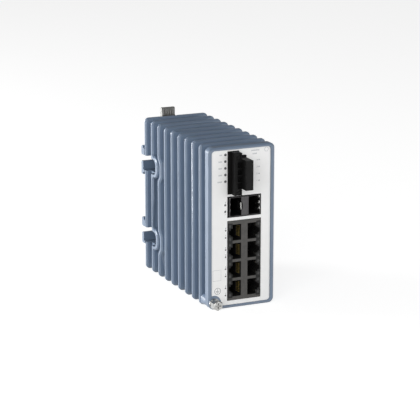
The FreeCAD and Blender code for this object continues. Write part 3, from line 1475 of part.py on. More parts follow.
def jack_light_outlines(sketch, left_column):
    """The two lights of the lowest jack of a column."""
    width = size("jack_light_width")
    inset = size("jack_light_inset")
    if left_column:
        left = f"({size('block_left')} + {inset})"
    else:
        left = f"({BLOCK_RIGHT} - {inset} - {width})"
    half = f"({size('jack_light_height')} / 2)"
    for side in ("-", "+"):
        middle = f"({JACK_FIRST_ROW} {side} {size('jack_light_offset')})"
        rectangle(sketch, left, f"{middle} - {half}", f"{left} + {width}", f"{middle} + {half}")


def cut_jacks(body, front, cavity, light_length):
    """Cut the jacks and their lights, one column after the other."""
    count = size("jack_rows")
    row = span(size("jack_pitch"), count)
    for name, left_column in (("Left", True), ("Right", False)):
        opening = front_sketch(body, f"{name}Jack", front)
        jack_outline(opening, left_column)
        cut = pocket(body, opening, cavity)
        repeat(body, [cut], upwards(opening), row, count)
        lights = front_sketch(body, f"{name}JackLights", front)
        jack_light_outlines(lights, left_column)
        cut = pocket(body, lights, light_length)
        repeat(body, [cut], upwards(lights), row, count)


def jack_shield(document):
    """The sheet-metal shield round the jack block, open to the rear."""
    body = new_body(document, "jack_shield")
    top = f"({size('jack_base')} + {JACK_HEIGHT})"
    sheet = size("shield_thickness")
    shell = front_sketch(body, "Shell", size("block_front"))
    rectangle(shell, size("block_left"), size("jack_base"), BLOCK_RIGHT, top)
    pad(body, shell, size("jack_depth"), backwards=True)
    inside = front_sketch(body, "Inside", JACK_FACE)
    rectangle(
        inside,
        f"{size('block_left')} + {sheet}",
        f"{size('jack_base')} + {sheet}",
        f"{BLOCK_RIGHT} - {sheet}",
        f"{top} - {sheet}",
    )
    pocket(body, inside, f"{size('jack_depth')} - {sheet}")
    cut_jacks(body, size("block_front"), sheet, sheet)
    return body


def jack_insulator(document):
    """The moulded block inside the shield with a cavity for each jack."""
    body = new_body(document, "jack_insulator")
    sheet = f"({size('shield_thickness')} + {size('screw_gap')})"
    top = f"({size('jack_base')} + {JACK_HEIGHT})"
    block = front_sketch(body, "Block", JACK_FACE)
    rectangle(
        block,
        f"{size('block_left')} + {sheet}",
        f"{size('jack_base')} + {sheet}",
        f"{BLOCK_RIGHT} - {sheet}",
        f"{top} - {sheet}",
    )
    pad(body, block, f"{JACK_REAR} - {JACK_FACE}", backwards=True)
    cut_jacks(body, JACK_FACE, size("jack_cavity"), size("jack_light_depth"))
    add_combs(body)
    return body


def add_combs(body):
    """The comb behind the contacts of each jack."""
    count = size("jack_rows")
    row = span(size("jack_pitch"), count)
    inner = f"({size('jack_outer')} + {size('jack_opening_width')})"
    half = f"({size('comb_height')} / 2)"
    left_side = f"({size('block_left')} + {inner})"
    right_side = f"({BLOCK_RIGHT} - {inner})"
    for name, left, right in (
        ("Left", f"({left_side} - {size('comb_depth')})", left_side),
        ("Right", right_side, f"({right_side} + {size('comb_depth')})"),
    ):
        comb = front_sketch(body, f"{name}Comb", COMB_FACE)
        rectangle(comb, left, f"{JACK_FIRST_ROW} - {half}", right, f"{JACK_FIRST_ROW} + {half}")
        ridge = pad(body, comb, f"{JACK_FLOOR} - {COMB_FACE}", backwards=True)
        repeat(body, [ridge], upwards(comb), row, count)


def jack_contacts(document):
    """The sprung contacts on the inner side of each jack."""
    thickness = value(size("contact_thickness"))
    reach = value(size("contact_reach"))
    front = value(JACK_FACE) + value(size("contact_front"))
    rear = value(COMB_FACE)
    width = value(size("contact_width"))
    inner = value(size("jack_outer")) + value(size("jack_opening_width"))
    columns = [(value(size("block_left")) + inner, -1), (value(BLOCK_RIGHT) - inner, 1)]
    pitch = value(size("contact_pitch"))
    count = round(value(size("contact_count")))
    contacts = []
    for row in row_heights(JACK_FIRST_ROW, size("jack_pitch"), size("jack_rows")):
        for side, towards in columns:
            for index in range(count):
                low = row + (index - (count - 1) / 2) * pitch - width / 2
                corners = [
                    FreeCAD.Vector(side, front, low),
                    FreeCAD.Vector(side + towards * thickness, front, low),
                    FreeCAD.Vector(side + towards * (reach + thickness), rear, low),
                    FreeCAD.Vector(side + towards * reach, rear, low),
                ]
                face = Part.Face(Part.makePolygon(corners + corners[:1]))
                contacts.append(face.extrude(FreeCAD.Vector(0, 0, width)))
    return new_piece(document, "jack_contacts", Part.makeCompound(contacts))


def jack_lights(document):
    """The small lights beside each jack's latch notch."""
    width = value(size("jack_light_width"))
    height = value(size("jack_light_height"))
    front = value(size("block_front"))
    length = value(size("jack_light_depth")) + value(size("shield_thickness"))
    inset = value(size("jack_light_inset"))
    lefts = [value(size("block_left")) + inset, value(BLOCK_RIGHT) - inset - width]
    offset = value(size("jack_light_offset"))
    lights = [
        Part.makeBox(
            width,
            length,
            height,
            FreeCAD.Vector(left, front, row + side * offset - height / 2),
        )
        for row in row_heights(JACK_FIRST_ROW, size("jack_pitch"), size("jack_rows"))
        for left in lefts
        for side in (-1, 1)
    ]
    return new_piece(document, "jack_lights", Part.makeCompound(lights))


# Circuit boards

def main_board(document):
    """The main board along the right side, with its screw holes."""
    body = new_body(document, "main_board")
    panel = side_sketch(body, "Panel", BOARD_LEFT)
    rectangle(panel, size("board_front"), BOARD_BASE, size("board_rear"), BOARD_TOP)
    pad(body, panel, size("board_thickness"))
    holes = side_sketch(body, "ScrewHoles", BOARD_RIGHT)
    for depth, height in board_screw_places():
        polygon(holes, depth, height, BOARD_HOLE, SHANK_SIDES)
    pocket(body, holes, size("board_thickness"))
    return body


def power_board(document):
    """The power board beside the terminal header, with the holes of its pins."""
    body = new_body(document, "power_board")
    panel = side_sketch(body, "Panel", POWER_LEFT)
    base = size("power_board_base")
    top = f"({base} + {size('power_board_height')})"
    rectangle(panel, size("board_front"), base, size("power_board_rear"), top)
    pad(body, panel, size("board_thickness"))
    pins = side_sketch(body, "PinHole", POWER_RIGHT)
    hole_side = f"({size('pin_size')} + 2 * {size('screw_gap')})"
    square(pins, f"{PIN_TURN} - {size('pin_size')} / 2", FIRST_POLE, hole_side)
    hole = pocket(body, pins, size("board_thickness"))
    count = size("pole_count")
    repeat(body, [hole], upwards(pins), span(size("pole_pitch"), count), count)
    return body


def box_piece(document, label, corner, extent):
    """A plain block between named places."""
    block = document.addObject("Part::Box", label)
    block.Label = label
    for name, expression in zip(("Length", "Width", "Height"), extent):
        block.setExpression(name, expression)
    across, depth, height = corner
    block.setExpression("Placement.Base.x", across)
    block.setExpression("Placement.Base.y", f"{depth} - {DEPTH}")
    block.setExpression("Placement.Base.z", f"{height} - {size('rail_height')}")
    return block


def board_parts(document):
    """The chip with its heat pad, the inductor and the connector between the boards."""
    chip = size("chip_side")
    chip_corner = (f"({size('chip_middle')} - {chip} / 2)", f"({size('chip_height')} - {chip} / 2)")
    chip_right = f"({BOARD_RIGHT} + {size('chip_thickness')})"
    inductor = size("inductor_side")
    return [
        box_piece(
            document,
            "switch_chip",
            (BOARD_RIGHT, *chip_corner),
            (size("chip_thickness"), chip, chip),
        ),
        box_piece(
            document, "heat_pad", (chip_right, *chip_corner), (f"{INNER_HALF} - {chip_right}", chip, chip)
        ),
        box_piece(
            document,
            "power_inductor",
            (
                f"({POWER_LEFT} - {size('inductor_height')})",
                f"({size('inductor_middle')} - {inductor} / 2)",
                f"({POWER_MIDDLE} - {inductor} / 2)",
            ),
            (size("inductor_height"), inductor, inductor),
        ),
        box_piece(
            document,
            "board_connector",
            (POWER_RIGHT, size("link_front"), size("link_base")),
            (f"{BOARD_LEFT} - {POWER_RIGHT}", size("link_length"), size("link_height")),
        ),
    ]


def line_transformers(document):
    """One line transformer behind each row of jacks."""
    thickness = value(size("transformer_thickness"))
    height = value(size("transformer_height"))
    blocks = [
        Part.makeBox(
            thickness,
            value(size("transformer_length")),
            height,
            FreeCAD.Vector(
                value(BOARD_LEFT) - thickness, value(size("transformer_front")), row - height / 2
            ),
        )
        for row in row_heights(size("transformer_base"), size("jack_pitch"), size("jack_rows"))
    ]
    return new_piece(document, "line_transformers", Part.makeCompound(blocks))


def power_capacitors(document):
    """Two capacitor cans on the power board."""
    cans = [
        prism(
            FreeCAD.Vector(
                value(POWER_LEFT),
                value(size("can_first")) + index * value(size("can_pitch")),
                value(POWER_MIDDLE),
            ),
            FreeCAD.Vector(-1, 0, 0),
            value(size("can_radius")),
            HEAD_SIDES,
            0,
            value(size("can_length")),
        )
        for index in range(2)
    ]
    return new_piece(document, "power_capacitors", Part.makeCompound(cans))


def housing_screws(document):
    """The board screws, the bezel screws and the retainer screws."""
    board = [
        screw(
            FreeCAD.Vector(value(BOARD_LEFT), value(depth), value(height)),
            FreeCAD.Vector(-1, 0, 0),
            value(size("board_screw_head")),
            value(size("board_screw_height")),
            value(size("board_screw_shank")),
            value(size("board_thickness")) + value(size("board_screw_bite")),
        )
        for depth, height in board_screw_places()
    ]
    seat = value(FACE_FRONT) + value(size("bezel_screw_height"))
    bezel = [
        screw(
            FreeCAD.Vector(side * value(size("bezel_screw_across")), seat, value(size(level))),
            FreeCAD.Vector(0, -1, 0),
            value(size("bezel_screw_head")),
            value(size("bezel_screw_height")),
            value(size("bezel_screw_shank")),
            value(size("bezel_screw_length")),
        )
        for side in (-1, 1)
        for level in ("bezel_screw_low", "bezel_screw_high")
    ]
    thickness = value(size("retainer_thickness"))
    retainer = [
        screw(
            FreeCAD.Vector(
                value(size("clip_across")) + side * value(RETAINER_SPREAD),
                value(DEPTH) + thickness,
                value(RETAINER_LINE),
            ),
            FreeCAD.Vector(0, 1, 0),
            value(size("retainer_head")),
            value(size("retainer_screw_height")),
            value(size("retainer_shank")),
            thickness + value(size("retainer_bite")),
            HEAD_SIDES,
        )
        for side in (-1, 1)
    ]
    return [
        new_piece(document, "board_screws", Part.makeCompound(board)),
        new_piece(document, "bezel_screws", Part.makeCompound(bezel)),
        new_piece(document, "retainer_screws", Part.makeCompound(retainer)),
    ]


# Grounding screw

def hexagon(centre, corner, depth):
    """The outline of a hexagon in front of a centre."""
    points = [
        centre
        + FreeCAD.Vector(
            corner * math.sin(math.radians(60 * index)),
            -depth,
            corner * math.cos(math.radians(60 * index)),
        )
        for index in range(6)
    ]
    return Part.makePolygon(points + points[:1])


def washer(centre, radius, low, high):
    """A washer round the grounding screw."""
    forwards = FreeCAD.Vector(0, -1, 0)
    hole = value(size("ground_shank")) + value(size("screw_gap"))
    disc = prism(centre, forwards, radius, HEAD_SIDES, low, high)
    return disc.cut(prism(centre, forwards, hole, SHANK_SIDES, low, high))


def ground_parts(document):
    """The hexagon-headed grounding screw with a cross recess, and its two washers."""
    middle = FreeCAD.Vector(value(size("ground_across")), 0, value(size("ground_height")))
    seat = middle + FreeCAD.Vector(0, value(GROUND_SEAT), 0)
    height = value(size("ground_head"))
    crown = value(size("ground_crown"))
    corner = value(size("ground_flats")) / math.sqrt(3)
    shoulder = hexagon(seat, corner, height - crown)
    flanks = Part.makeLoft([hexagon(seat, corner, 0), shoulder], True, True)
    top = Part.makeLoft([shoulder, hexagon(seat, corner - crown, height)], True, True)
    shank = prism(
        seat,
        FreeCAD.Vector(0, 1, 0),
        value(size("ground_shank")),
        SHANK_SIDES,
        0,
        value(size("ground_length")),
    )
    arm = value(size("cross_arm"))
    blade = value(size("cross_width"))
    depth = value(size("cross_depth"))
    front = value(GROUND_FRONT)
    cross = Part.makeBox(
        2 * arm, depth, blade, middle + FreeCAD.Vector(-arm, front, -blade / 2)
    ).fuse(
        Part.makeBox(blade, depth, 2 * arm, middle + FreeCAD.Vector(-blade / 2, front, -arm))
    )
    bolt = flanks.multiFuse([top, shank]).cut(cross).removeSplitter()
    thickness = value(size("washer_thickness"))
    washers = [
        washer(middle, value(size("washer_radius")), 0, thickness),
        washer(middle, value(size("ground_flats")) / 2, thickness, 2 * thickness),
    ]
    return [
        new_piece(document, "ground_screw", bolt),
        new_piece(document, "ground_washers", Part.makeCompound(washers)),
    ]


# Rail clip

def clip_slider(document):
    """The sprung slider: a strip in the rear face, a hook for the rail and a ribbed release pad."""
    body = new_body(document, "clip_slider")
    hook_top = f"({RAIL_BASE} - {size('rail_clearance')})"
    nose_front = f"({DEPTH} + {size('rail_thickness')} + {size('rail_clearance')})"
    nose_rear = f"({nose_front} + {size('clip_nose_thickness')})"
    nose_top = f"({hook_top} + {size('clip_nose')})"
    pad_front = f"({DEPTH} + {size('pad_front')})"
    pad_rear = f"({pad_front} + {size('pad_thickness')})"
    pad_top = f"({size('body_height')} + {size('pad_rise')})"
    neck = size("clip_neck")
    neck_top = f"({neck} + {size('clip_neck_thickness')})"
    side = side_sketch(body, "Side", size("clip_across"))
    outline(
        side,
        [
            (CLIP_FRONT, size("clip_foot")),
            (CLIP_REAR, size("clip_foot")),
            (CLIP_REAR, f"{hook_top} - {size('clip_hook_height')}"),
            (nose_rear, f"{hook_top} - {size('clip_hook_height')}"),
            (nose_rear, nose_top),
            (nose_front, nose_top),
            (nose_front, hook_top),
            (CLIP_REAR, hook_top),
            (CLIP_REAR, neck),
            (pad_rear, f"{neck} + {size('pad_thickness')} / 2"),
            (pad_rear, pad_top),
            (pad_front, pad_top),
            (pad_front, f"{neck_top} + {size('pad_front')}"),
            (CLIP_FRONT, neck_top),
        ],
    )
    pad(body, side, size("clip_width"), middle=True)
    stop = front_sketch(body, "Stop", CLIP_REAR)
    stop_top = f"({size('retainer_base')} - {size('clip_gap')})"
    rectangle(
        stop,
        f"({size('clip_across')} - {size('clip_stop_width')} / 2)",
        f"({stop_top} - {size('clip_stop_height')})",
        f"({size('clip_across')} + {size('clip_stop_width')} / 2)",
        stop_top,
    )
    pad(body, stop, size("clip_stop_rise"), backwards=True)
    window = front_sketch(body, "SpringWindow", CLIP_FRONT)
    rectangle(
        window,
        f"({size('clip_across')} - {SPRING_ROOM} / 2)",
        f"({size('spring_base')} - {size('spring_play')})",
        f"({size('clip_across')} + {SPRING_ROOM} / 2)",
        f"({size('spring_base')} + {size('spring_length')})",
    )
    pocket(body, window, size("clip_strip"))
    top = value(pad_top)
    slack = value(size("screw_gap"))

    def on_pad_top(edge):
        box = edge.BoundBox
        return abs(box.ZMin - top) < slack and box.YLength < slack

    bevel_edges(body, size("pad_chamfer"), on_pad_top)
    groove = front_sketch(body, "PadGroove", pad_front)
    row = span(size("pad_groove_pitch"), size("pad_groove_count"))
    left = f"({size('clip_across')} - {row} / 2 - {size('pad_groove')} / 2)"
    right = f"{left} + {size('pad_groove')}"
    rectangle(groove, left, size("body_height"), right, f"{pad_top} + {size('pad_chamfer')}")
    cut = pocket(body, groove, size("pad_groove_depth"))
    repeat(body, [cut], (groove, ["H_Axis"]), row, size("pad_groove_count"))
    return body


def wire_section(turn, radius, wire, height):
    """The four corners of the spring wire's section at an angle round the coil."""
    outwards = FreeCAD.Vector(math.cos(turn), math.sin(turn), 0)
    centre = outwards * radius + FreeCAD.Vector(0, 0, height)
    upright = FreeCAD.Vector(0, 0, wire)
    return [centre + outwards * wire, centre + upright, centre - outwards * wire, centre - upright]


def clip_spring(document):
    """The coil spring that holds the slider up against the rail."""
    wire = value(size("spring_wire"))
    rise = value(size("spring_length")) - 2 * wire
    steps = round(value(size("spring_turns")) * SPRING_STEPS)
    sections = [
        wire_section(
            2 * math.pi * step / SPRING_STEPS,
            value(size("spring_radius")),
            wire,
            wire + rise * step / steps,
        )
        for step in range(steps + 1)
    ]
    faces = [
        Part.Face(Part.makePolygon(end + end[:1])) for end in (sections[0][::-1], sections[-1])
    ]
    for section, following in zip(sections, sections[1:]):
        for index in range(4):
            near, far = section[index], section[index - 1]
            ahead, beyond = following[index], following[index - 1]
            faces.append(Part.Face(Part.makePolygon([far, near, ahead, far])))
            faces.append(Part.Face(Part.makePolygon([far, ahead, beyond, far])))
    coil = Part.makeSolid(Part.makeShell(faces))
    coil.translate(
        FreeCAD.Vector(
            value(size("clip_across")), value(SPRING_LINE), value(size("spring_base"))
        )
    )
    return new_piece(document, "clip_spring", Part.makeCompound([coil]))


def clip_retainer(document):
    """The plate that bridges the slider's slot."""
    body = new_body(document, "clip_retainer")
    half = f"({size('clip_width')} / 2 + {size('retainer_ear')})"
    top = f"({size('retainer_base')} + {size('retainer_height')})"
    plate = front_sketch(body, "Plate", DEPTH)
    across = size("clip_across")
    rectangle(plate, f"({across} - {half})", size("retainer_base"), f"({across} + {half})", top)
    pad(body, plate, size("retainer_thickness"), backwards=True)
    holes = front_sketch(body, "ScrewHoles", DEPTH)
    radius = f"({size('retainer_shank')} + {size('screw_gap')})"
    for side in ("-", "+"):
        polygon(holes, f"{across} {side} {RETAINER_SPREAD}", RETAINER_LINE, radius, SHANK_SIDES)
    pocket(body, holes, size("retainer_thickness"))
    return body


def build_pieces(document):
    """Build every piece, from the housing inwards."""
    return [
        finned_housing(document),
        front_bezel(document),
        front_overlay(document),
        *light_pipes(document),
        terminal_header(document),
        terminal_pins(document),
        terminal_plug(document),
        wire_clamps(document),
        *terminal_screws(document),
        fibre_cage(document),
        fibre_connectors(document),
        jack_shield(document),
        jack_insulator(document),
        jack_contacts(document),
        jack_lights(document),
        main_board(document),
        power_board(document),
        *board_parts(document),
        line_transformers(document),
        power_capacitors(document),
        *housing_screws(document),
        *ground_parts(document),
        clip_slider(document),
        clip_spring(document),
        clip_retainer(document),
    ]


def check(document, pieces):
    """Stop if any object failed or any piece is empty or invalid."""
    for item in document.Objects:
        if "Invalid" in item.State or "Error" in item.State:
            raise ValueError(f"{item.Name} failed: {item.State}")
    for piece in pieces:
        if piece.Shape.isNull() or not piece.Shape.isValid() or not piece.Shape.Solids:
            raise ValueError(f"{piece.Label} has no valid solid")


def main():
    """Build the document, check it and write one STEP file for each piece."""
    document = FreeCAD.newDocument("RailSwitch")
    CELL["sheet"] = fill_sheet(document)
    pieces = build_pieces(document)
    document.recompute()
    check(document, pieces)
    os.makedirs("parts", exist_ok=True)
    for piece in pieces:
        piece.Shape.exportStep(f"parts/{piece.Label}.step")
        print(f"{piece.Label}: {len(piece.Shape.Solids)} solid(s), {piece.Shape.Volume:.0f} mm3")


main()
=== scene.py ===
"""Finishes, printed marks and small metal details of a finned network switch for a 35 mm rail.

Sizes are millimetres from the front datum of the switch: X to the right from the middle, Y backwards
from the bezel's front plane and Z up from the surface that it stands on.
"""

import logging
import math
from collections.abc import Callable
from dataclasses import dataclass, field
from enum import Enum
from functools import partial

import bmesh
import bpy
from mathutils import Matrix, Vector


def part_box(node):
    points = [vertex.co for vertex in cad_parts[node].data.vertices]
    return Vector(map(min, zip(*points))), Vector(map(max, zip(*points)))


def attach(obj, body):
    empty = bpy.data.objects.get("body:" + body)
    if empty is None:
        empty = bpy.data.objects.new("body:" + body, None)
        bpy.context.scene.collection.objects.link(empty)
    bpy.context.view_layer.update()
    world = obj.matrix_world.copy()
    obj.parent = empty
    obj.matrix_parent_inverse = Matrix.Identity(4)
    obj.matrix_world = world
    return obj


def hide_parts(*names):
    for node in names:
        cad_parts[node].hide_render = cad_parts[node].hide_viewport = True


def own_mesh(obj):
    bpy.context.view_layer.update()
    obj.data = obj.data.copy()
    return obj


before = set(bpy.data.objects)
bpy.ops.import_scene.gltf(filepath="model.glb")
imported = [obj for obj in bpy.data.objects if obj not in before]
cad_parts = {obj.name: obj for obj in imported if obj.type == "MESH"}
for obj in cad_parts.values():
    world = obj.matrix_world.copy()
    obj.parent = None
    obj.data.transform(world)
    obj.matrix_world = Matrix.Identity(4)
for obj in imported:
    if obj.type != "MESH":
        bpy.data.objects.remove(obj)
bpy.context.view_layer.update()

log = logging.getLogger("rail_switch")

Point = tuple[float, float, float]
Colour = tuple[float, float, float]
Levels = dict[str, float | tuple[float, ...]]
Test = Callable[[Vector, Vector], bool]

DEPTH = 121.4
RAIL_HEIGHT = 58.8
MILLIMETRE = 0.001
CASE_BODY = "switch"
CLIP_BODY = "rail_clip"
FORWARDS = Vector((0, -1, 0))
BACKWARDS = Vector((0, 1, 0))
RIGHTWARDS = Vector((1, 0, 0))

# Places on the front that several pieces share
FILM_FACE = 0.8
INK_RISE = 0.02
PORT_FACE = 0.4
PORTS_LEFT = -10.9
PORTS_RIGHT = 15.2
LIGHT_COLUMN = -12.8
STATUS_ROWS = (94.3, 99.18, 104.06, 108.94, 113.82)
FIBRE_ROWS = (72.2, 77.0)
PORT_COLUMN = -12.5
PORT_ROWS = (9.65, 24.05, 38.45, 52.85)
PORT_GAP = 5.4

# Values of the materials
WHITE = (1.0, 1.0, 1.0, 1.0)
NOISE_SPAN = (0.3, 0.7)
TINT_DETAIL = 5.0
TINT_ROUGHNESS = 0.62
SHINE_SCALE = 2.3
SHINE_DETAIL = 3.0
LEAST_ROUGHNESS = 0.02
BRUSH_STRETCH = 0.06
CAST_DETAIL = 6.0
FINE_DETAIL = 2.0
BUMP_STRENGTH = 0.35

# Values of the meshes, in millimetres and degrees
WELD = 1e-5
NODE_WELD = 1e-4
FLAT_ANGLE = 0.5
SHARP_ANGLE = 25.0
CREASE_ANGLE = 34.0
NODE_CREASE_ANGLE = 32.0
CORE_RADIUS = 0.02
SLOT_DEPTH = 0.6
SLOT_STEPS = 12
DOME_STEPS = 6
COIL_STEPS = 20
WIRE_SIDES = 8


def spot(across: float, depth: float, height: float) -> Vector:
    """Turn millimetres from the front datum into metres from the rail's seat."""
    return Vector((across, depth - DEPTH, height - RAIL_HEIGHT)) * MILLIMETRE


def from_frame(place: Vector) -> Vector:
    """Turn metres from the rail's seat into millimetres from the front datum."""
    return place / MILLIMETRE + Vector((0, DEPTH, RAIL_HEIGHT))


class Grain(Enum):
    """The fine relief of a surface."""

    PEEL = "peel"
    SPARK = "spark"
    BRUSH = "brush"
    CAST = "cast"


class Side(Enum):
    """The two sides, as the sign of X."""

    LEFT = -1
    RIGHT = 1


@dataclass(frozen=True)
class Nodes:
    """A node tree with short calls that add, set and join its nodes."""

    tree: bpy.types.NodeTree

    def add(self, kind: str, levels: Levels | None = None) -> bpy.types.Node:
        """Add a node.

        Args:
            kind: Kind of the node.
            levels: Values of its inputs.

        Returns:
            The node.
        """
        node = self.tree.nodes.new(kind)
        self.adjust(node, levels or {})
        return node

    def adjust(self, node: bpy.types.Node, levels: Levels) -> None:
        """Set some inputs of a node."""
        for name, value in levels.items():
            node.inputs[name].default_value = value

    def join(self, source: bpy.types.NodeSocket, target: bpy.types.NodeSocket) -> None:
        """Join an output to an input."""
        self.tree.links.new(source, target)


@dataclass(frozen=True)
class Finish:
    """One surface finish, worked out by nodes from the object's own coordinates.

    Attributes:
        name: Name of the material.
        colour: Mean linear colour.
        roughness: Mean roughness.
        metallic: 1 for bare metal, 0 for paint and plastic.
        mottle: How far the colour strays from its mean, as a share.
        patch: Size of the colour patches in millimetres.
        grain: Kind of fine relief.
        grain_size: Size of the relief in millimetres.
        grain_depth: Height of the relief in millimetres.
        polish: How far the roughness strays from its mean.
        coat: Weight of a clear coat.
        glint: Level of the mirror-like reflection, 0.5 for most surfaces.
    """

    name: str
    colour: Colour
    roughness: float
    metallic: float = 0.0
    mottle: float = 0.06
    patch: float = 9.0
    grain: Grain = Grain.PEEL
    grain_size: float = 0.5
    grain_depth: float = 0.01
    polish: float = 0.05
    coat: float = 0.0
    glint: float = 0.5

    def material(self) -> bpy.types.Material:
        """Return the finish's material, made once.

        Returns:
            The material with its node tree.
        """
        title = f"{self.name}_finish"
        known = bpy.data.materials.get(title)
        if known is not None:
            return known
        material = bpy.data.materials.new(title)
        material.use_nodes = True
        nodes = Nodes(material.node_tree)
        shader = material.node_tree.nodes["Principled BSDF"]
        nodes.adjust(shader, {
            "Metallic": self.metallic,
            "Coat Weight": self.coat,
            "Specular IOR Level": self.glint,
        })
        place = nodes.add("ShaderNodeTexCoord").outputs["Object"]
        nodes.join(self._tint(nodes, place), shader.inputs["Base Color"])
        nodes.join(self._shine(nodes, place), shader.inputs["Roughness"])
        nodes.join(self._relief(nodes, place), shader.inputs["Normal"])
        return material

    def _tint(self, nodes: Nodes, place: bpy.types.NodeSocket) -> bpy.types.NodeSocket:
        """Let the colour stray softly round its mean.

        Args:
            nodes: Nodes of the material.
            place: The object's own coordinates.

        Returns:
            The colour.
        """
        noise = nodes.add("ShaderNodeTexNoise", {
            "Scale": 1.0 / (self.patch * MILLIMETRE),
            "Detail": TINT_DETAIL,
            "Roughness": TINT_ROUGHNESS,
        })
        ramp = nodes.add("ShaderNodeValToRGB")
        shares = (1.0 - self.mottle, 1.0 + self.mottle)
        for element, end, share in zip(ramp.color_ramp.elements, NOISE_SPAN, shares):
            element.position = end
            element.color = (*(min(1.0, channel * share) for channel in self.colour), 1.0)
        nodes.join(place, noise.inputs["Vector"])
        nodes.join(noise.outputs["Fac"], ramp.inputs["Fac"])
        return ramp.outputs["Color"]

    def _shine(self, nodes: Nodes, place: bpy.types.NodeSocket) -> bpy.types.NodeSocket:
        """Let the roughness stray round its mean.

        Args:
            nodes: Nodes of the material.
            place: The object's own coordinates.

        Returns:
            The roughness.
        """
        noise = nodes.add("ShaderNodeTexNoise", {
            "Scale": SHINE_SCALE / (self.patch * MILLIMETRE),
            "Detail": SHINE_DETAIL,
        })
        spread = nodes.add("ShaderNodeMapRange", {
            "From Min": NOISE_SPAN[0],
            "From Max": NOISE_SPAN[1],
            "To Min": max(LEAST_ROUGHNESS, self.roughness - self.polish),
            "To Max": min(1.0, self.roughness + self.polish),
        })
        nodes.join(place, noise.inputs["Vector"])
        nodes.join(noise.outputs["Fac"], spread.inputs["Value"])
        return spread.outputs["Result"]

    def _relief(self, nodes: Nodes, place: bpy.types.NodeSocket) -> bpy.types.NodeSocket:
        """Add the fine relief.

        Args:
            nodes: Nodes of the material.
            place: The object's own coordinates.

        Returns:
            The direction of the surface.
        """
        scale = 1.0 / (self.grain_size * MILLIMETRE)
        along = BRUSH_STRETCH if self.grain is Grain.BRUSH else 1.0
        stretch = nodes.add("ShaderNodeMapping", {"Scale": (scale, scale * along, scale)})
        if self.grain is Grain.SPARK:
            texture = nodes.add("ShaderNodeTexVoronoi", {"Scale": 1.0})
            height = texture.outputs["Distance"]
        else:
            detail = CAST_DETAIL if self.grain is Grain.CAST else FINE_DETAIL
            texture = nodes.add("ShaderNodeTexNoise", {"Scale": 1.0, "Detail": detail})
            height = texture.outputs["Fac"]
        bump = nodes.add("ShaderNodeBump", {
            "Strength": BUMP_STRENGTH,
            "Distance": self.grain_depth * MILLIMETRE,
        })
        nodes.join(place, stretch.inputs["Vector"])
        nodes.join(stretch.outputs["Vector"], texture.inputs["Vector"])
        nodes.join(height, bump.inputs["Height"])
        return bump.outputs["Normal"]


brushed_metal = partial(Finish, metallic=1.0, grain=Grain.BRUSH)
dull_metal = partial(Finish, metallic=1.0, grain=Grain.CAST)

CASE_PAINT = Finish(
    "blue_grey_paint", (0.131, 0.179, 0.254), 0.38, mottle=0.05, patch=14.0, grain_size=0.55,
    grain_depth=0.03, polish=0.04, glint=0.8
)
FILM = Finish(
    "printed_film", (0.85, 0.85, 0.845), 0.38, mottle=0.015, patch=6.0, grain_size=0.12,
    grain_depth=0.006, polish=0.03
)
BLACK_PLASTIC = Finish(
    "black_glass_filled_plastic", (0.005, 0.005, 0.005), 0.5, mottle=0.25, patch=1.8,
    grain=Grain.SPARK, grain_size=0.25, grain_depth=0.012, polish=0.08, glint=0.15
)
# Flat black for the frame on the fibre cage's face, and painted shade in the wire entries, at the far
# end of the fibre ports and in the latch window
BLACK_FRAME_AND_SHADE = Finish(
    "flat_black_and_painted_shade", (0.006, 0.006, 0.006), 0.7, mottle=0.2, patch=1.5, grain_size=0.2, glint=0.12
)
JACK_PLASTIC = Finish(
    "jack_plastic", (0.008, 0.008, 0.008), 0.6, mottle=0.2, patch=2.2, grain_size=0.2, glint=0.2
)
STRIP_PLASTIC = Finish(
    "jack_front_plastic", (0.012, 0.012, 0.012), 0.5, mottle=0.4, patch=0.7, grain=Grain.SPARK,
    grain_size=0.3, grain_depth=0.02, glint=0.22
)
GREY_PLASTIC = Finish("grey_plastic", (0.12, 0.125, 0.13), 0.45, mottle=0.08, patch=2.0, grain_size=0.2)
JACK_SHEET = brushed_metal(
    "nickel_sheet", (0.083, 0.081, 0.078), 0.42, mottle=0.12, patch=3.0, grain_size=0.12,
    grain_depth=0.008, polish=0.08
)
CAGE_SHEET = brushed_metal(
    "cage_sheet", (0.082, 0.080, 0.082), 0.40, mottle=0.14, patch=2.6, grain_size=0.12,
    grain_depth=0.008, polish=0.08
)
SPRING_SHEET = brushed_metal(
    "bright_spring_sheet", (0.72, 0.72, 0.70), 0.24, mottle=0.05, patch=1.5, grain_size=0.1,
    grain_depth=0.005
)
TAB_SHEET = brushed_metal(
    "dull_tab_sheet", (0.20, 0.20, 0.19), 0.36, mottle=0.1, patch=1.2, grain_size=0.1,
    grain_depth=0.005
)
GOLD = brushed_metal(
    "thin_gold_plate", (0.72, 0.55, 0.17), 0.45, mottle=0.15, patch=1.2, grain_size=0.08,
    grain_depth=0.004
)
TIN = dull_metal(
    "tin_plate", (0.16, 0.16, 0.16), 0.4, mottle=0.1, patch=1.6, grain_size=0.3, grain_depth=0.006
)
PLATED_STEEL = dull_metal(
    "plated_steel", (0.46, 0.46, 0.45), 0.3, mottle=0.08, patch=1.4, grain_size=0.4, grain_depth=0.012,
    polish=0.08
)
DARK_STEEL = dull_metal(
    "blackened_steel", (0.018, 0.018, 0.018), 0.5, mottle=0.15, patch=1.2, grain_size=0.3,
    grain_depth=0.008
)
CLIP_STEEL = brushed_metal(
    "clip_steel", (0.25, 0.25, 0.243), 0.6, mottle=0.1, patch=4.0, grain_size=0.18, grain_depth=0.01,
    polish=0.08
)
SPRING_WIRE = brushed_metal(
    "spring_wire", (0.36, 0.37, 0.39), 0.3, mottle=0.1, patch=1.0, grain_size=0.1, grain_depth=0.004
)
SMOKED_LENS = Finish(
    "smoked_lens", (0.085, 0.088, 0.094), 0.18, mottle=0.15, patch=1.0, grain_size=0.3,
    grain_depth=0.004, coat=0.4
)
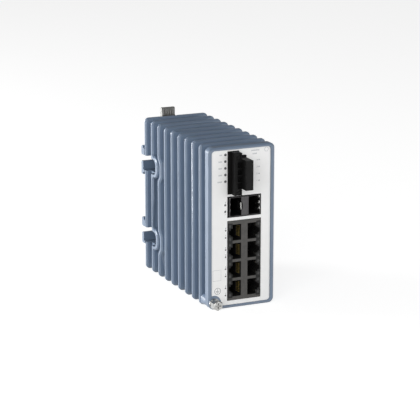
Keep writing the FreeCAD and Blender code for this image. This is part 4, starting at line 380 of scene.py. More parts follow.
DARK_LENS = Finish(
    "dark_lens", (0.020, 0.021, 0.020), 0.16, mottle=0.2, patch=0.8, grain_size=0.3, grain_depth=0.004,
    coat=0.3
)
LAMINATE = Finish(
    "green_laminate", (0.018, 0.13, 0.06), 0.34, mottle=0.3, patch=3.5, grain=Grain.SPARK,
    grain_size=0.8, grain_depth=0.02, coat=0.3
)
RESIN = Finish("moulding_resin", (0.024, 0.024, 0.026), 0.5, mottle=0.15, patch=2.0, grain_size=0.15)
HEAT_PAD = Finish(
    "heat_pad_rubber", (0.25, 0.27, 0.33), 0.7, mottle=0.1, patch=2.5, grain_size=0.35,
    grain_depth=0.03
)
CAN = brushed_metal(
    "bare_can", (0.6, 0.61, 0.62), 0.3, mottle=0.05, patch=3.0, grain_size=0.15, grain_depth=0.006
)
INK = Finish(
    "grey_ink", (0.09, 0.10, 0.12), 0.45, mottle=0.12, patch=1.0, grain_size=0.1, grain_depth=0.003
)
PALE_INK = Finish(
    "pale_ink", (0.40, 0.41, 0.44), 0.45, mottle=0.05, patch=1.0, grain_size=0.1, grain_depth=0.003
)


def dress(node: str, finish: Finish) -> None:
    """Give a CAD node its finish.

    Args:
        node: Name of the node.
        finish: Finish for all its faces.
    """
    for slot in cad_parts[node].material_slots:
        slot.material = finish.material()
    log.info("dressed %s with %s", node, finish.name)


def is_sharp(edge: bmesh.types.BMEdge, steepest: float) -> bool:
    """Tell whether the faces at an edge meet at more than an angle in degrees."""
    return edge.is_manifold and edge.calc_face_angle(0.0) > math.radians(steepest)


def settle(mesh: bmesh.types.BMesh, name: str, crease: float | None) -> bpy.types.Mesh:
    """Bring a mesh under construction into the row's frame.

    Args:
        mesh: Mesh in millimetres from the front datum.
        name: Name of the piece.
        crease: Angle in degrees from which the shading breaks, or None for flat shading.

    Returns:
        The finished mesh.
    """
    for vertex in mesh.verts:
        vertex.co = spot(*vertex.co)
    for face in mesh.faces:
        face.smooth = crease is not None
    data = bpy.data.meshes.new(name)
    mesh.to_mesh(data)
    mesh.free()
    if crease is not None:
        data.set_sharp_from_angle(angle=math.radians(crease))
    return data


def publish(data: bpy.types.Mesh, name: str, finish: Finish, body: str) -> bpy.types.Object:
    """Put a mesh into the scene as a piece.

    Args:
        data: Mesh in the row's frame.
        name: Name of the piece.
        finish: Its finish.
        body: Body that carries it.

    Returns:
        The piece.
    """
    piece = bpy.data.objects.new(name, data)
    data.materials.append(finish.material())
    bpy.context.scene.collection.objects.link(piece)
    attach(piece, body)
    log.info("built %s with %d faces", name, len(data.polygons))
    return piece


@dataclass(frozen=True)
class Screw:
    """Sizes of a slotted screw: its head, half the width of its slot and its shank."""

    radius: float
    rise: float
    half_slot: float
    shank: float = 0.0


@dataclass(frozen=True)
class Leaf:
    """A bent strip of sheet.

    Attributes:
        bend: Places behind the front, off the wall and above the foot, one after the other.
        width: Width of the strip.
        sheet: Thickness of the sheet.
        rounding: Rounding of its edges.
    """

    bend: tuple[Point, ...]
    width: float
    sheet: float
    rounding: float


@dataclass
class Shape:
    """A mesh under construction, in millimetres from the front datum."""

    mesh: bmesh.types.BMesh = field(default_factory=bmesh.new)

    def _circle(
        self, centre: Point, axis: Vector, radius: float, height: float, sides: int
    ) -> list[bmesh.types.BMVert]:
        """Add a circle of corners about an axis.

        Args:
            centre: A point on the axis.
            axis: Direction of the axis.
            radius: Radius of the circle.
            height: Its distance along the axis.
            sides: Number of corners.

        Returns:
            The corners in order.
        """
        turn = axis.to_track_quat("Z", "Y").to_matrix()
        corners = []
        for side in range(sides):
            angle = math.tau * side / sides
            flat = Vector((radius * math.cos(angle), radius * math.sin(angle), height))
            corners.append(self.mesh.verts.new(Vector(centre) + turn @ flat))
        return corners

    def _skin(self, loops: list[list[bmesh.types.BMVert]], capped: bool = True) -> None:
        """Span faces between loops of corners, each to the next.

        Args:
            loops: Loops with the same number of corners.
            capped: Whether the first and the last loop are closed.
        """
        for first, second in zip(loops, loops[1:]):
            for index, corner in enumerate(first):
                after = (index + 1) % len(first)
                self.mesh.faces.new((corner, first[after], second[after], second[index]))
        if capped:
            self.mesh.faces.new(loops[0][::-1])
            self.mesh.faces.new(loops[-1])

    def box(self, low: Point, high: Point) -> None:
        """Add a block between two corners.

        Args:
            low: Lowest corner.
            high: Highest corner.
        """
        made = bmesh.ops.create_cube(self.mesh, size=1.0)
        for vertex in made["verts"]:
            spans = zip(low, high, vertex.co)
            vertex.co = [(start + end) / 2 + share * (end - start) for start, end, share in spans]

    def prism(self, outline: list[Vector], along: Vector) -> None:
        """Push a flat outline along a direction.

        Args:
            outline: Corners of the outline.
            along: Direction and length of the push.
        """
        near = [self.mesh.verts.new(corner) for corner in outline]
        far = [self.mesh.verts.new(corner + along) for corner in outline]
        self._skin([near, far])

    def ring(
        self, centre: Point, axis: Vector, profile: list[tuple[float, float]], sides: int = 32
    ) -> None:
        """Turn a closed profile about an axis."""
        loops = [self._circle(centre, axis, radius, height, sides) for radius, height in profile]
        self._skin([*loops, loops[0]], capped=False)

    def disc(self, centre: Point, axis: Vector, radius: float, height: float, sides: int = 32) -> None:
        """Add a round disc or pin."""
        profile = [(CORE_RADIUS, 0.0), (radius, 0.0), (radius, height), (CORE_RADIUS, height)]
        self.ring(centre, axis, profile, sides)

    def dome(self, centre: Point, axis: Vector, radius: float, rise: float, sides: int = 24) -> None:
        """Add a low dome.

        Args:
            centre: Middle of the dome's foot.
            axis: Direction in which it rises.
            radius: Radius of the foot.
            rise: Height of the crown.
            sides: Number of steps round the dome.
        """
        loops = []
        for step in range(DOME_STEPS):
            angle = math.pi / 2 * step / DOME_STEPS
            width, height = radius * math.cos(angle), rise * math.sin(angle)
            loops.append(self._circle(centre, axis, width, height, sides))
        turn = axis.to_track_quat("Z", "Y").to_matrix()
        crown = self.mesh.verts.new(Vector(centre) + turn @ Vector((0, 0, rise)))
        self._skin(loops, capped=False)
        for side, corner in enumerate(loops[-1]):
            self.mesh.faces.new((corner, loops[-1][(side + 1) % sides], crown))
        self.mesh.faces.new(loops[0][::-1])

    def strip(self, leaf: Leaf, wall: float, towards: float, foot: float) -> None:
        """Bend a strip of sheet along a wall that leads backwards from the ports' front.

        Args:
            leaf: Sizes of the strip.
            wall: Place of the wall across the front.
            towards: Sign of the direction off the wall.
            foot: Height above the base.
        """
        points = [
            Vector((wall + towards * rise, PORT_FACE + depth, foot + climb))
            for depth, rise, climb in leaf.bend
        ]
        wide = Vector((0.0, 0.0, leaf.width))
        rows = []
        for index, point in enumerate(points):
            before = points[max(index - 1, 0)]
            after = points[min(index + 1, len(points) - 1)]
            normal = (after - before).cross(wide).normalized() * leaf.sheet / 2
            corners = (point + normal, point + wide + normal, point + wide - normal, point - normal)
            rows.append([self.mesh.verts.new(corner) for corner in corners])
        self._skin(rows)

    def slotted(self, centre: Point, axis: Vector, screw: Screw, turn: float) -> None:
        """Add a slotted round head as two half discs on a shorter disc.

        Args:
            centre: Middle of the head's foot.
            axis: Direction out of the head.
            screw: Sizes of the screw.
            turn: Turn of the slot in degrees.
        """
        floor = screw.rise - SLOT_DEPTH
        self.disc(centre, axis, screw.radius, floor)
        upright = axis.to_track_quat("Z", "Y").to_matrix()
        aim = upright @ Matrix.Rotation(math.radians(turn), 3, "Z")
        start = math.asin(screw.half_slot / screw.radius)
        for side in Side:
            outline = []
            for step in range(SLOT_STEPS + 1):
                angle = start + (math.pi - 2 * start) * step / SLOT_STEPS
                upward = side.value * screw.radius * math.sin(angle)
                flat = Vector((screw.radius * math.cos(angle), upward, floor))
                outline.append(Vector(centre) + aim @ flat)
            self.prism(outline, aim @ Vector((0, 0, screw.rise - floor)))

    def coil(self, foot: Vector, radius: float, wire: float, length: float, turns: int) -> None:
        """Wind an upright spring of round wire.

        Args:
            foot: Middle of the spring's lower end.
            radius: Mean radius of the turns.
            wire: Radius of the wire.
            length: Length over both ends.
            turns: Number of turns.
        """
        rings = []
        for step in range(turns * COIL_STEPS + 1):
            angle = math.tau * step / COIL_STEPS
            outward = Vector((math.cos(angle), math.sin(angle), 0.0))
            rise = wire + (length - 2 * wire) * step / (turns * COIL_STEPS)
            middle = foot + outward * radius + Vector((0.0, 0.0, rise))
            ring = []
            for side in range(WIRE_SIDES):
                lean = math.tau * side / WIRE_SIDES
                skin = outward * math.cos(lean) + Vector((0.0, 0.0, math.sin(lean)))
                ring.append(self.mesh.verts.new(middle + skin * wire))
            rings.append(ring)
        self._skin(rings)

    def finish(
        self, name: str, finish: Finish, bevel: float = 0.0, smooth: bool = True
    ) -> bpy.types.Object:
        """Turn the shape into a piece that rides on the switch.

        Args:
            name: Name of the piece.
            finish: Its finish.
            bevel: Rounding of its edges in millimetres.
            smooth: Whether the faces are shaded smoothly.

        Returns:
            The piece.
        """
        bmesh.ops.remove_doubles(self.mesh, verts=self.mesh.verts, dist=WELD)
        bmesh.ops.recalc_face_normals(self.mesh, faces=self.mesh.faces)
        if bevel:
            sharp = [edge for edge in self.mesh.edges if is_sharp(edge, SHARP_ANGLE)]
            bmesh.ops.bevel(
                self.mesh, geom=sharp, offset=bevel, segments=2, affect="EDGES", profile=0.5
            )
        data = settle(self.mesh, name, CREASE_ANGLE if smooth else None)
        return publish(data, name, finish, CASE_BODY)


@dataclass(frozen=True)
class LongEdges:
    """A test that picks the edges above a length that lie in front of a place."""

    shortest: float
    rearmost: float = math.inf

    def __call__(self, low: Vector, high: Vector) -> bool:
        """Tell whether an edge is rounded."""
        return high.y < self.rearmost and (high - low).length > self.shortest


def soften(
    node: str,
    name: str,
    finish: Finish,
    width: float,
    wanted: Test,
    steepest: float = 30.0,
    reshape: Callable[[bmesh.types.BMesh], None] | None = None,
    body: str = CASE_BODY,
) -> None:
    """Round the edges of a CAD node in a piece that takes its place.

    Args:
        node: Name of the node.
        name: Name of the piece.
        finish: Its finish.
        width: Rounding in millimetres.
        wanted: Tells from an edge's lowest and highest corner, in millimetres from the front
            datum, whether it is rounded.
        steepest: Angle in degrees above which an edge counts as sharp.
        reshape: Refines the node's mesh before its edges are rounded.
        body: Body that carries the piece.
    """
    mesh = bmesh.new()
    mesh.from_mesh(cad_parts[node].data)
    for vertex in mesh.verts:
        vertex.co = from_frame(vertex.co)
    bmesh.ops.remove_doubles(mesh, verts=mesh.verts, dist=NODE_WELD)
    bmesh.ops.dissolve_limit(
        mesh, angle_limit=math.radians(FLAT_ANGLE), verts=mesh.verts, edges=mesh.edges
    )
    if reshape:
        reshape(mesh)
    sharp = []
    for edge in mesh.edges:
        pairs = list(zip(*(vertex.co for vertex in edge.verts)))
        low = Vector([min(pair) for pair in pairs])
        high = Vector([max(pair) for pair in pairs])
        if is_sharp(edge, steepest) and wanted(low, high):
            sharp.append(edge)
    bmesh.ops.bevel(
        mesh, geom=sharp, offset=width, segments=3, affect="EDGES", profile=0.5, clamp_overlap=True
    )
    piece = publish(settle(mesh, name, NODE_CREASE_ANGLE), name, finish, body)
    weigh = piece.modifiers.new("weigh", "WEIGHTED_NORMAL")
    weigh.keep_sharp = True
    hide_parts(node)


@dataclass(frozen=True)
class Corner:
    """One corner of the castings' outline, whose stepped arc becomes a smooth one.

    It covers what lies behind the front place and less than the deepest inset below the skin.
    """

    centre: Vector
    outward: Vector
    front: float
    radius: float
    stepped: float
    steps: int = 4
    cuts: int = 3
    deepest: float = 1.75
    slack: float = 1e-4

    def _reach(self, place: Vector) -> tuple[float, float]:
        """Measure how far a place lies outwards of the arc's middle."""
        across = (place.x - self.centre.x) * self.outward.x
        return across, (place.z - self.centre.z) * self.outward.z

    def _holds(self, corners: list[bmesh.types.BMVert]) -> bool:
        """Tell whether corners of the mesh lie near the skin of the arc.

        Args:
            corners: The corners.

        Returns:
            Whether all of them do.
        """
        for vertex in corners:
            across, upward = self._reach(vertex.co)
            if vertex.co.y <= self.front or min(across, upward) <= -self.slack:
                return False
            if math.hypot(across, upward) <= self.stepped - self.deepest:
                return False
        return True

    def cut(self, mesh: bmesh.types.BMesh) -> None:
        """Cut the straight steps into finer ones.

        Args:
            mesh: The mesh.
        """
        steps = self.steps * (self.cuts + 1)
        for step in range(1, steps):
            angle = math.pi / 2 * step / steps
            across, upward = -math.sin(angle) * self.outward.x, math.cos(angle) * self.outward.z
            edges = [edge for edge in mesh.edges if self._holds(edge.verts)]
            faces = dict.fromkeys(face for edge in edges for face in edge.link_faces)
            kept = [face for face in faces if self._holds(face.verts)]
            bmesh.ops.bisect_plane(
                mesh,
                geom=edges + kept,
                dist=WELD,
                plane_co=self.centre,
                plane_no=Vector((across, 0.0, upward)),
            )

    def bend(self, mesh: bmesh.types.BMesh) -> None:
        """Move the skin onto the smooth arc.

        Args:
            mesh: The mesh.
        """
        half_step = math.pi / 4 / self.steps
        shift = self.stepped - self.radius
        for vertex in mesh.verts:
            if not self._holds([vertex]):
                continue
            across, upward = self._reach(vertex.co)
            angle = math.atan2(upward, across)
            away = angle % (2 * half_step) - half_step
            skin = self.stepped * math.cos(half_step) / math.cos(away)
            inset = self.stepped * (1.0 - math.hypot(across, upward) / skin)
            reach = self.radius - inset
            vertex.co.x = self.centre.x + self.outward.x * (shift + reach * math.cos(angle))
            vertex.co.z = self.centre.z + self.outward.z * (shift + reach * math.sin(angle))


@dataclass
class Casing:
    """The finned casting and its bezel."""

    half_width: float = 26.0
    height: float = 119.6
    corner: float = 5.0
    first_fin: float = 15.1
    fin_corner: float = 3.2
    fin_rounding: float = 0.4
    fin_depth: float = 3.8
    rear_face: float = 121.6
    least_rear_width: float = 5.0
    bezel_front: float = -1.0
    bezel_rear: float = 6.7
    bezel_corner: float = 4.0
    bezel_rounding: float = 0.5
    rim_width: float = 2.0
    rim_height: float = 1.9
    shortest: float = 1.2

    def build(self) -> None:
        """Round the painted castings and dress their hidden screws."""
        soften(
            "finned_housing", "rounded_housing", CASE_PAINT, self.fin_rounding, self._on_casting,
            reshape=lambda mesh: self._turn_corners(mesh, self.first_fin, self.fin_corner),
        )
        soften(
            "front_bezel", "rounded_bezel", CASE_PAINT, self.bezel_rounding, self._on_bezel,
            reshape=lambda mesh: self._turn_corners(mesh, self.bezel_front, self.bezel_corner),
        )
        dress("bezel_screws", PLATED_STEEL)

    def _turn_corners(self, mesh: bmesh.types.BMesh, front: float, radius: float) -> None:
        """Turn the stepped corners of the casting's outline into smooth ones.

        The bezel keeps its lower left corner, where the ground point lies.

        Args:
            mesh: Mesh in millimetres from the front datum.
            front: Foremost place that is turned.
            radius: Radius that the corners get.
        """
        heights = ((self.height - self.corner, 1.0), (self.corner, -1.0))
        for side in Side:
            for height, upward in heights:
                if side is Side.LEFT and upward < 0 and front < 0:
                    continue
                centre = Vector((side.value * (self.half_width - self.corner), 0.0, height))
                outward = Vector((side.value, 0.0, upward))
                corner = Corner(centre, outward, front, radius, self.corner)
                corner.cut(mesh)
                corner.bend(mesh)

    def _on_casting(self, low: Vector, high: Vector) -> bool:
        """Tell whether an edge lies on the outside of the casting, away from its screw holes.

        Args:
            low: Lowest corner of the edge.
            high: Highest corner of the edge.

        Returns:
            Whether it is rounded.
        """
        if low.y < self.first_fin or (high - low).length < self.shortest:
            return False
        aside = max(high.x, -low.x) > self.half_width - self.fin_depth
        above = low.z < self.fin_depth or high.z > self.height - self.fin_depth
        behind = high.y > self.rear_face and high.x - low.x > self.least_rear_width
        return aside or above or behind

    def _on_bezel(self, low: Vector, high: Vector) -> bool:
        """Tell whether an edge lies on the bezel's rim.

        Args:
            low: Lowest corner of the edge.
            high: Highest corner of the edge.

        Returns:
            Whether it is rounded.
        """
        outside = max(high.x, -low.x) > self.half_width - self.rim_width
        outside = outside or low.z < self.rim_height or high.z > self.height - self.rim_height
        return outside and high.y < self.bezel_rear and (high - low).length > self.shortest


@dataclass
class Ink(Shape):
    """Flat marks of ink on the film, under construction."""

    bar_width: float = 0.42
    bar_height: float = 0.95
    bar_pitch: float = 0.72

    def mark(self, left: float, base: float, right: float, top: float) -> None:
        """Add one rectangle."""
        self.box((left, FILM_FACE - INK_RISE, base), (right, FILM_FACE, top))

    def tally(self, across: float, height: float, count: int) -> None:
        """Add a short row of upright bars.

        Args:
            across: Left side of the row.
            height: Middle of the row above the base.
            count: Number of bars.
        """
        half = self.bar_height / 2
        for index in range(count):
            left = across + index * self.bar_pitch
            self.mark(left, height - half, left + self.bar_width, height + half)

    def circle(self, across: float, height: float, radius: float, half: float) -> None:
        """Add a thin circle.

        Args:
            across: Its middle across the front.
            height: Its middle above the base.
            radius: Radius of its line.
            half: Half the width of its line.
        """
        inner, outer = radius - half, radius + half
        profile = [(inner, 0), (outer, 0), (outer, -INK_RISE), (inner, -INK_RISE)]
        self.ring((across, FILM_FACE, height), BACKWARDS, profile, sides=40)


@dataclass
class Legend:
    """The film on the front with its marks: numbers, bars, an earth sign and two outlines."""

    number_height: float = 1.6
    port_lift: float = 1.55
    fibre_lifts: tuple[float, float] = (-1.9, 1.9)
    status_bars: tuple[int, ...] = (5, 4, 4, 4, 3)
    status_across: float = -15.2
    heading_bars: tuple[tuple[float, float, int], ...] = ((7.6, 115.2, 9), (8.6, 112.8, 5))
    pole_rows: tuple[float, ...] = (92.78, 97.86, 102.94, 108.02)
    pole_across: float = 12.1
    pole_bars: int = 2
    pole_bars_aside: float = 1.1
    earth_middle: tuple[float, float] = (-18.75, 13.6)
    earth_lines: tuple[tuple[float, float], ...] = ((0.0, 1.5), (0.7, 0.95), (1.4, 0.4))
    earth_stem: float = 1.5
    earth_half: float = 0.13
    earth_ring: tuple[float, float] = (2.35, 0.14)
    square: tuple[float, float, float, float] = (-22.4, 21.4, -16.1, 29.3)
    square_half: float = 0.08
    ring_middle: tuple[float, float] = (19.5, 115.2)
    ring_line: tuple[float, float] = (1.5, 0.12)

    def build(self) -> None:
        """Dress the film and lay the marks on it."""
        dress("front_overlay", FILM)
        self._numbers()
        self._bars()
        self._earth()
        self._outlines()

    def _numbers(self) -> None:
        """Print the port numbers and the pole numbers."""
        marks = []
        for row, height in enumerate(PORT_ROWS):
            for index in range(2):
                middle = height + index * PORT_GAP + self.port_lift
                marks.append((2 * row + 1 + index, PORT_COLUMN, middle))
        for index, height in enumerate(self.pole_rows):
            marks.append((index + 1, self.pole_across, height))
        for index, (height, lift) in enumerate(zip(FIBRE_ROWS, self.fibre_lifts)):
            marks.append((index + 1, LIGHT_COLUMN, height + lift))
        joined = bmesh.new()
        for number, across, height in marks:
            lettering = self._text(str(number), across, height)
            joined.from_mesh(lettering)
            bpy.data.meshes.remove(lettering)
        data = bpy.data.meshes.new("printed_numbers")
        joined.to_mesh(data)
        joined.free()
        publish(data, "printed_numbers", INK, CASE_BODY)

    def _text(self, words: str, across: float, height: float) -> bpy.types.Mesh:
        """Make one line of flat lettering as a mesh.

        Args:
            words: The lettering.
            across: Its middle across the front.
            height: Its middle above the base.

        Returns:
            The mesh in the row's frame.
        """
        curve = bpy.data.curves.new("lettering", "FONT")
        curve.body = words
        curve.size = self.number_height * MILLIMETRE
        curve.align_x = "CENTER"
        curve.align_y = "CENTER"
        holder = bpy.data.objects.new("lettering", curve)
        bpy.context.scene.collection.objects.link(holder)
        bpy.context.view_layer.update()
        data = bpy.data.meshes.new_from_object(holder)
        bpy.data.objects.remove(holder)
        place = Matrix.Translation(spot(across, FILM_FACE - INK_RISE, height))
        data.transform(place @ Matrix.Rotation(math.pi / 2, 4, "X"))
        return data

    def _bars(self) -> None:
        """Print short bars at the status lights, at the poles and as the heading."""
        ink = Ink()
        for count, height in zip(self.status_bars, STATUS_ROWS):
            ink.tally(self.status_across - count * ink.bar_pitch, height, count)
        for height in self.pole_rows:
            ink.tally(self.pole_across + self.pole_bars_aside, height, self.pole_bars)
        for across, height, count in self.heading_bars:
            ink.tally(across, height, count)
        ink.finish("printed_bars", PALE_INK, smooth=False)

    def _earth(self) -> None:
        """Print the earth sign above the grounding screw."""
        ink = Ink()
        across, height = self.earth_middle
        line = self.earth_half
        for drop, half in self.earth_lines:
            ink.mark(across - half, height - drop - line, across + half, height - drop + line)
        ink.mark(across - line, height, across + line, height + self.earth_stem)
        ink.circle(across, height, *self.earth_ring)
        ink.finish("printed_earth_sign", INK, smooth=False)

    def _outlines(self) -> None:
        """Print the faint square and the faint ring."""
        ink = Ink()
        left, base, right, top = self.square
        line = self.square_half
        for height in (base, top):
            ink.mark(left, height - line, right, height + line)
        for across in (left, right):
            ink.mark(across - line, base, across + line, top)
        ink.circle(*self.ring_middle, *self.ring_line)
        ink.finish("printed_outlines", PALE_INK, smooth=False)


@dataclass
class Lights:
    """The rows of light pipes with a domed lens on each."""

    status_radius: float = 1.0
    fibre_radius: float = 0.85
    port_radius: float = 0.6
    large_rise: float = 0.25
    small_rise: float = 0.2

    def build(self) -> None:
        """Dress the pipes and put a lens on each pin."""
        for node in ("status_light_pipe", "fibre_light_pipe", "port_light_pipe"):
            dress(node, SMOKED_LENS)
        shape = Shape()
        ports = [height + step for height in PORT_ROWS for step in (0.0, PORT_GAP)]
        for across, rows, radius, rise in (
            (LIGHT_COLUMN, STATUS_ROWS, self.status_radius, self.large_rise),
            (LIGHT_COLUMN, FIBRE_ROWS, self.fibre_radius, self.large_rise),
            (PORT_COLUMN, ports, self.port_radius, self.small_rise),
        ):
            for height in rows:
                shape.dome((across, FILM_FACE, height), FORWARDS, radius, rise)
        shape.finish("light_lenses", SMOKED_LENS)


@dataclass
class PowerTerminal:
    """The black plug and header with their screws and clamps."""

    tower_left: float = -2.99
    tower_right: float = 2.61
    tower_front: float = -13.2
    tower_height: float = 21.6
    step_front: float = -6.4
    step_middle: float = -5.815
    middle: float = 100.4
    pitch: float = 5.08
    poles: int = 4
    rounding: float = 0.16
    edges: Test = LongEdges(2.0, -0.4)
    sharpest: float = 60.0
    rib_places: tuple[float, float] = (0.9, 2.4)
    rib_width: float = 0.5
    rib_rise: float = 0.14
    rib_margin: float = 0.6
    rib_rounding: float = 0.08
    window_width: float = 3.3
    window_height: float = 3.9
    window_drop: float = 0.9
    # Flat black walls of painted shade in each wire entry: their front, rear, side thickness and back
    lining_front: float = 0.5
    lining_rear: float = 3.0
    lining_side: float = 0.12
    lining_back: tuple[float, float] = (2.9, 3.05)
    flange_depth: float = 0.6
    flange_away: float = 12.9
    flange_screw: Screw = Screw(2.0, 1.8, 0.4, 1.2)
    flange_turn: float = 25.0
    flange_length: float = 7.3
    clamp_depth: float = 0.8
    clamp_behind: float = 4.0
    clamp_screw: Screw = Screw(1.34, 4.4, 0.3)
    clamp_turn: float = 10.0

    def build(self) -> None:
        """Dress the terminal, add the plug's moulded ribs, painted shade in its wire entries and its
        round screws.
        """
        dress("terminal_header", BLACK_PLASTIC)
        soften(
            "terminal_plug", "rounded_plug", BLACK_PLASTIC, self.rounding, self.edges, self.sharpest
        )
        dress("terminal_pins", TIN)
        dress("wire_clamps", DARK_STEEL)
        self._ribs()
        self._windows()
        self._flange_screws()
        self._clamp_screws()

    def _pole_heights(self) -> list[float]:
        """Work out where the poles lie."""
        first = self.middle - (self.poles - 1) * self.pitch / 2
        return [first + pole * self.pitch for pole in range(self.poles)]

    def _ribs(self) -> None:
        """Mould shallow upright ribs on both sides of the tower."""
        shape = Shape()
        base = self.middle - self.tower_height / 2
        low, high = base + self.rib_margin, base + self.tower_height - self.rib_margin
        for depth in self.rib_places:
            front = self.tower_front + depth
            for face in (self.tower_left, self.tower_right):
                shape.box(
                    (face - self.rib_rise, front, low),
                    (face + self.rib_rise, front + self.rib_width, high),
                )
        shape.finish("plug_ribs", BLACK_PLASTIC, bevel=self.rib_rounding)

    def _windows(self) -> None:
        """Paint shade in the wire entries: a flat black side wall and back wall in each."""
        shape = Shape()
        left = self.tower_left - self.window_width
        near, far = (self.step_front + depth for depth in self.lining_back)
        for height in self._pole_heights():
            base = height - self.window_drop - self.window_height / 2
            top = base + self.window_height
            shape.box(
                (left, self.step_front + self.lining_front, base),
                (left + self.lining_side, self.step_front + self.lining_rear, top),
            )
            shape.box((left, near, base), (self.tower_left, far, top))
        shape.finish("wire_entry_painted_shade", BLACK_FRAME_AND_SHADE, smooth=False)

    def _flange_screws(self) -> None:
        """Turn the two slotted flange screws."""
        shape = Shape()
        screw = self.flange_screw
        seat = self.step_front + self.flange_depth + screw.rise
        for side in Side:
            centre = (self.step_middle, seat, self.middle + side.value * self.flange_away)
            shape.slotted(centre, FORWARDS, screw, self.flange_turn)
            shape.disc(centre, BACKWARDS, screw.shank, self.flange_length, sides=24)
        piece = shape.finish("slotted_flange_screws", DARK_STEEL)
        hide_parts("flange_screws")

    def _clamp_screws(self) -> None:
        """Turn the slotted clamp screws on the right side of the tower."""
        shape = Shape()
        across = self.tower_right - self.clamp_depth - self.clamp_screw.rise
        depth = self.tower_front + self.clamp_behind
        for pole, height in enumerate(self._pole_heights()):
            turn = self.clamp_turn * pole
            shape.slotted((across, depth, height), RIGHTWARDS, self.clamp_screw, turn)
        piece = shape.finish("slotted_clamp_screws", PLATED_STEEL)
        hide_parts("clamp_screws")


@dataclass
class FibreCage:
    """The sheet cage for two fibre transceivers."""

    middle: float = 75.2
    film: float = 0.03
    half_height: float = 7.5
    # A thin black frame on the cage's face, over the outer walls of the ports
    gasket_left: float = 1.1
    gasket_right: float = 0.5
    gasket_rim: float = 0.6
    # Flat black blocks of painted shade at the far end of both ports
    lining_places: tuple[float, float] = (-9.2, 5.5)
    lining_width: float = 8.8
    lining_half: float = 6.6
    lining_depths: tuple[float, float] = (34.0, 34.3)
    divider: float = -0.3
    window_width: float = 1.1
    window_half: float = 3.3
    window_steps: int = 12
    latch_drop: float = 2.6
    latch: Leaf = Leaf(
        ((0.2, 0.1, 0), (0.9, -0.35, 0), (2.0, -0.7, 0), (3.2, -0.75, 0), (4.4, -0.3, 0)),
        width=5.2, sheet=0.16, rounding=0.03,
    )
    finger_walls: tuple[tuple[float, float], ...] = ((-9.3, 1.0), (14.4, -1.0))
    finger_heights: tuple[float, ...] = (-4.7, -0.3, 4.1)
    finger: Leaf = Leaf(
        ((0.2, 0.15, 1.2), (1.4, 0.8, 0.7), (3.0, 1.3, 0.0), (5.0, 0.9, -0.9), (7.4, 0.2, -2.0)),
        width=1.9, sheet=0.14, rounding=0.02,
    )

    def build(self) -> None:
        """Dress the cage and add a thin black frame on its face, painted shade at the far end of the
        ports and in the latch window, the latch spring and the contact fingers.
        """
        dress("fibre_cage", CAGE_SHEET)
        dress("fibre_connectors", JACK_PLASTIC)
        self._gasket()
        self._linings()
        self._latch()
        self._fingers()

    def _gasket(self) -> None:
        """Lay a thin black frame round the cage's face."""
        shape = Shape()
        base, top = self.middle - self.half_height, self.middle + self.half_height
        inner_left, inner_right = PORTS_LEFT + self.gasket_left, PORTS_RIGHT - self.gasket_right
        for left, right, low, high in (
            (PORTS_LEFT, inner_left, base, top),
            (inner_right, PORTS_RIGHT, base, top),
            (inner_left, inner_right, base, base + self.gasket_rim),
            (inner_left, inner_right, top - self.gasket_rim, top),
        ):
            shape.box((left, PORT_FACE - self.film, low), (right, PORT_FACE, high))
        shape.finish("fibre_black_frame", BLACK_FRAME_AND_SHADE, smooth=False)

    def _linings(self) -> None:
        """Paint shade at the far end of both ports with flat black blocks, where nothing shines."""
        shape = Shape()
        near, far = (PORT_FACE + depth for depth in self.lining_depths)
        base, top = self.middle - self.lining_half, self.middle + self.lining_half
        for left in self.lining_places:
            shape.box((left, near, base), (left + self.lining_width, far, top))
        shape.finish("fibre_port_painted_shade", BLACK_FRAME_AND_SHADE, smooth=False)

    def _latch(self) -> None:
        """Paint the shade of the latch window in the divider as a flat black film, and bend the bright
        latch spring into it.
        """
        # A flat black film: painted shade of the hole behind the latch spring
        window = Shape()
        outline = []
        for step in range(self.window_steps + 1):
            angle = math.pi * (step / self.window_steps - 0.5)
            across = self.divider + self.window_width * math.cos(angle)
            height = self.middle + self.window_half * math.sin(angle)
            outline.append(Vector((across, PORT_FACE - self.film, height)))
        window.prism(outline, BACKWARDS * self.film)
        window.finish("fibre_latch_hole_shade", BLACK_FRAME_AND_SHADE, smooth=False)
        spring = Shape()
        spring.strip(self.latch, self.divider, 1.0, self.middle - self.latch_drop)
        spring.finish("fibre_latch_spring", SPRING_SHEET, bevel=self.latch.rounding)

    def _fingers(self) -> None:
        """Bend bright slanting contact fingers along the outer walls of the ports."""
        shape = Shape()
        for wall, towards in self.finger_walls:
            for height in self.finger_heights:
                shape.strip(self.finger, wall, towards, self.middle + height)
        shape.finish("fibre_contact_fingers", SPRING_SHEET, bevel=self.finger.rounding)


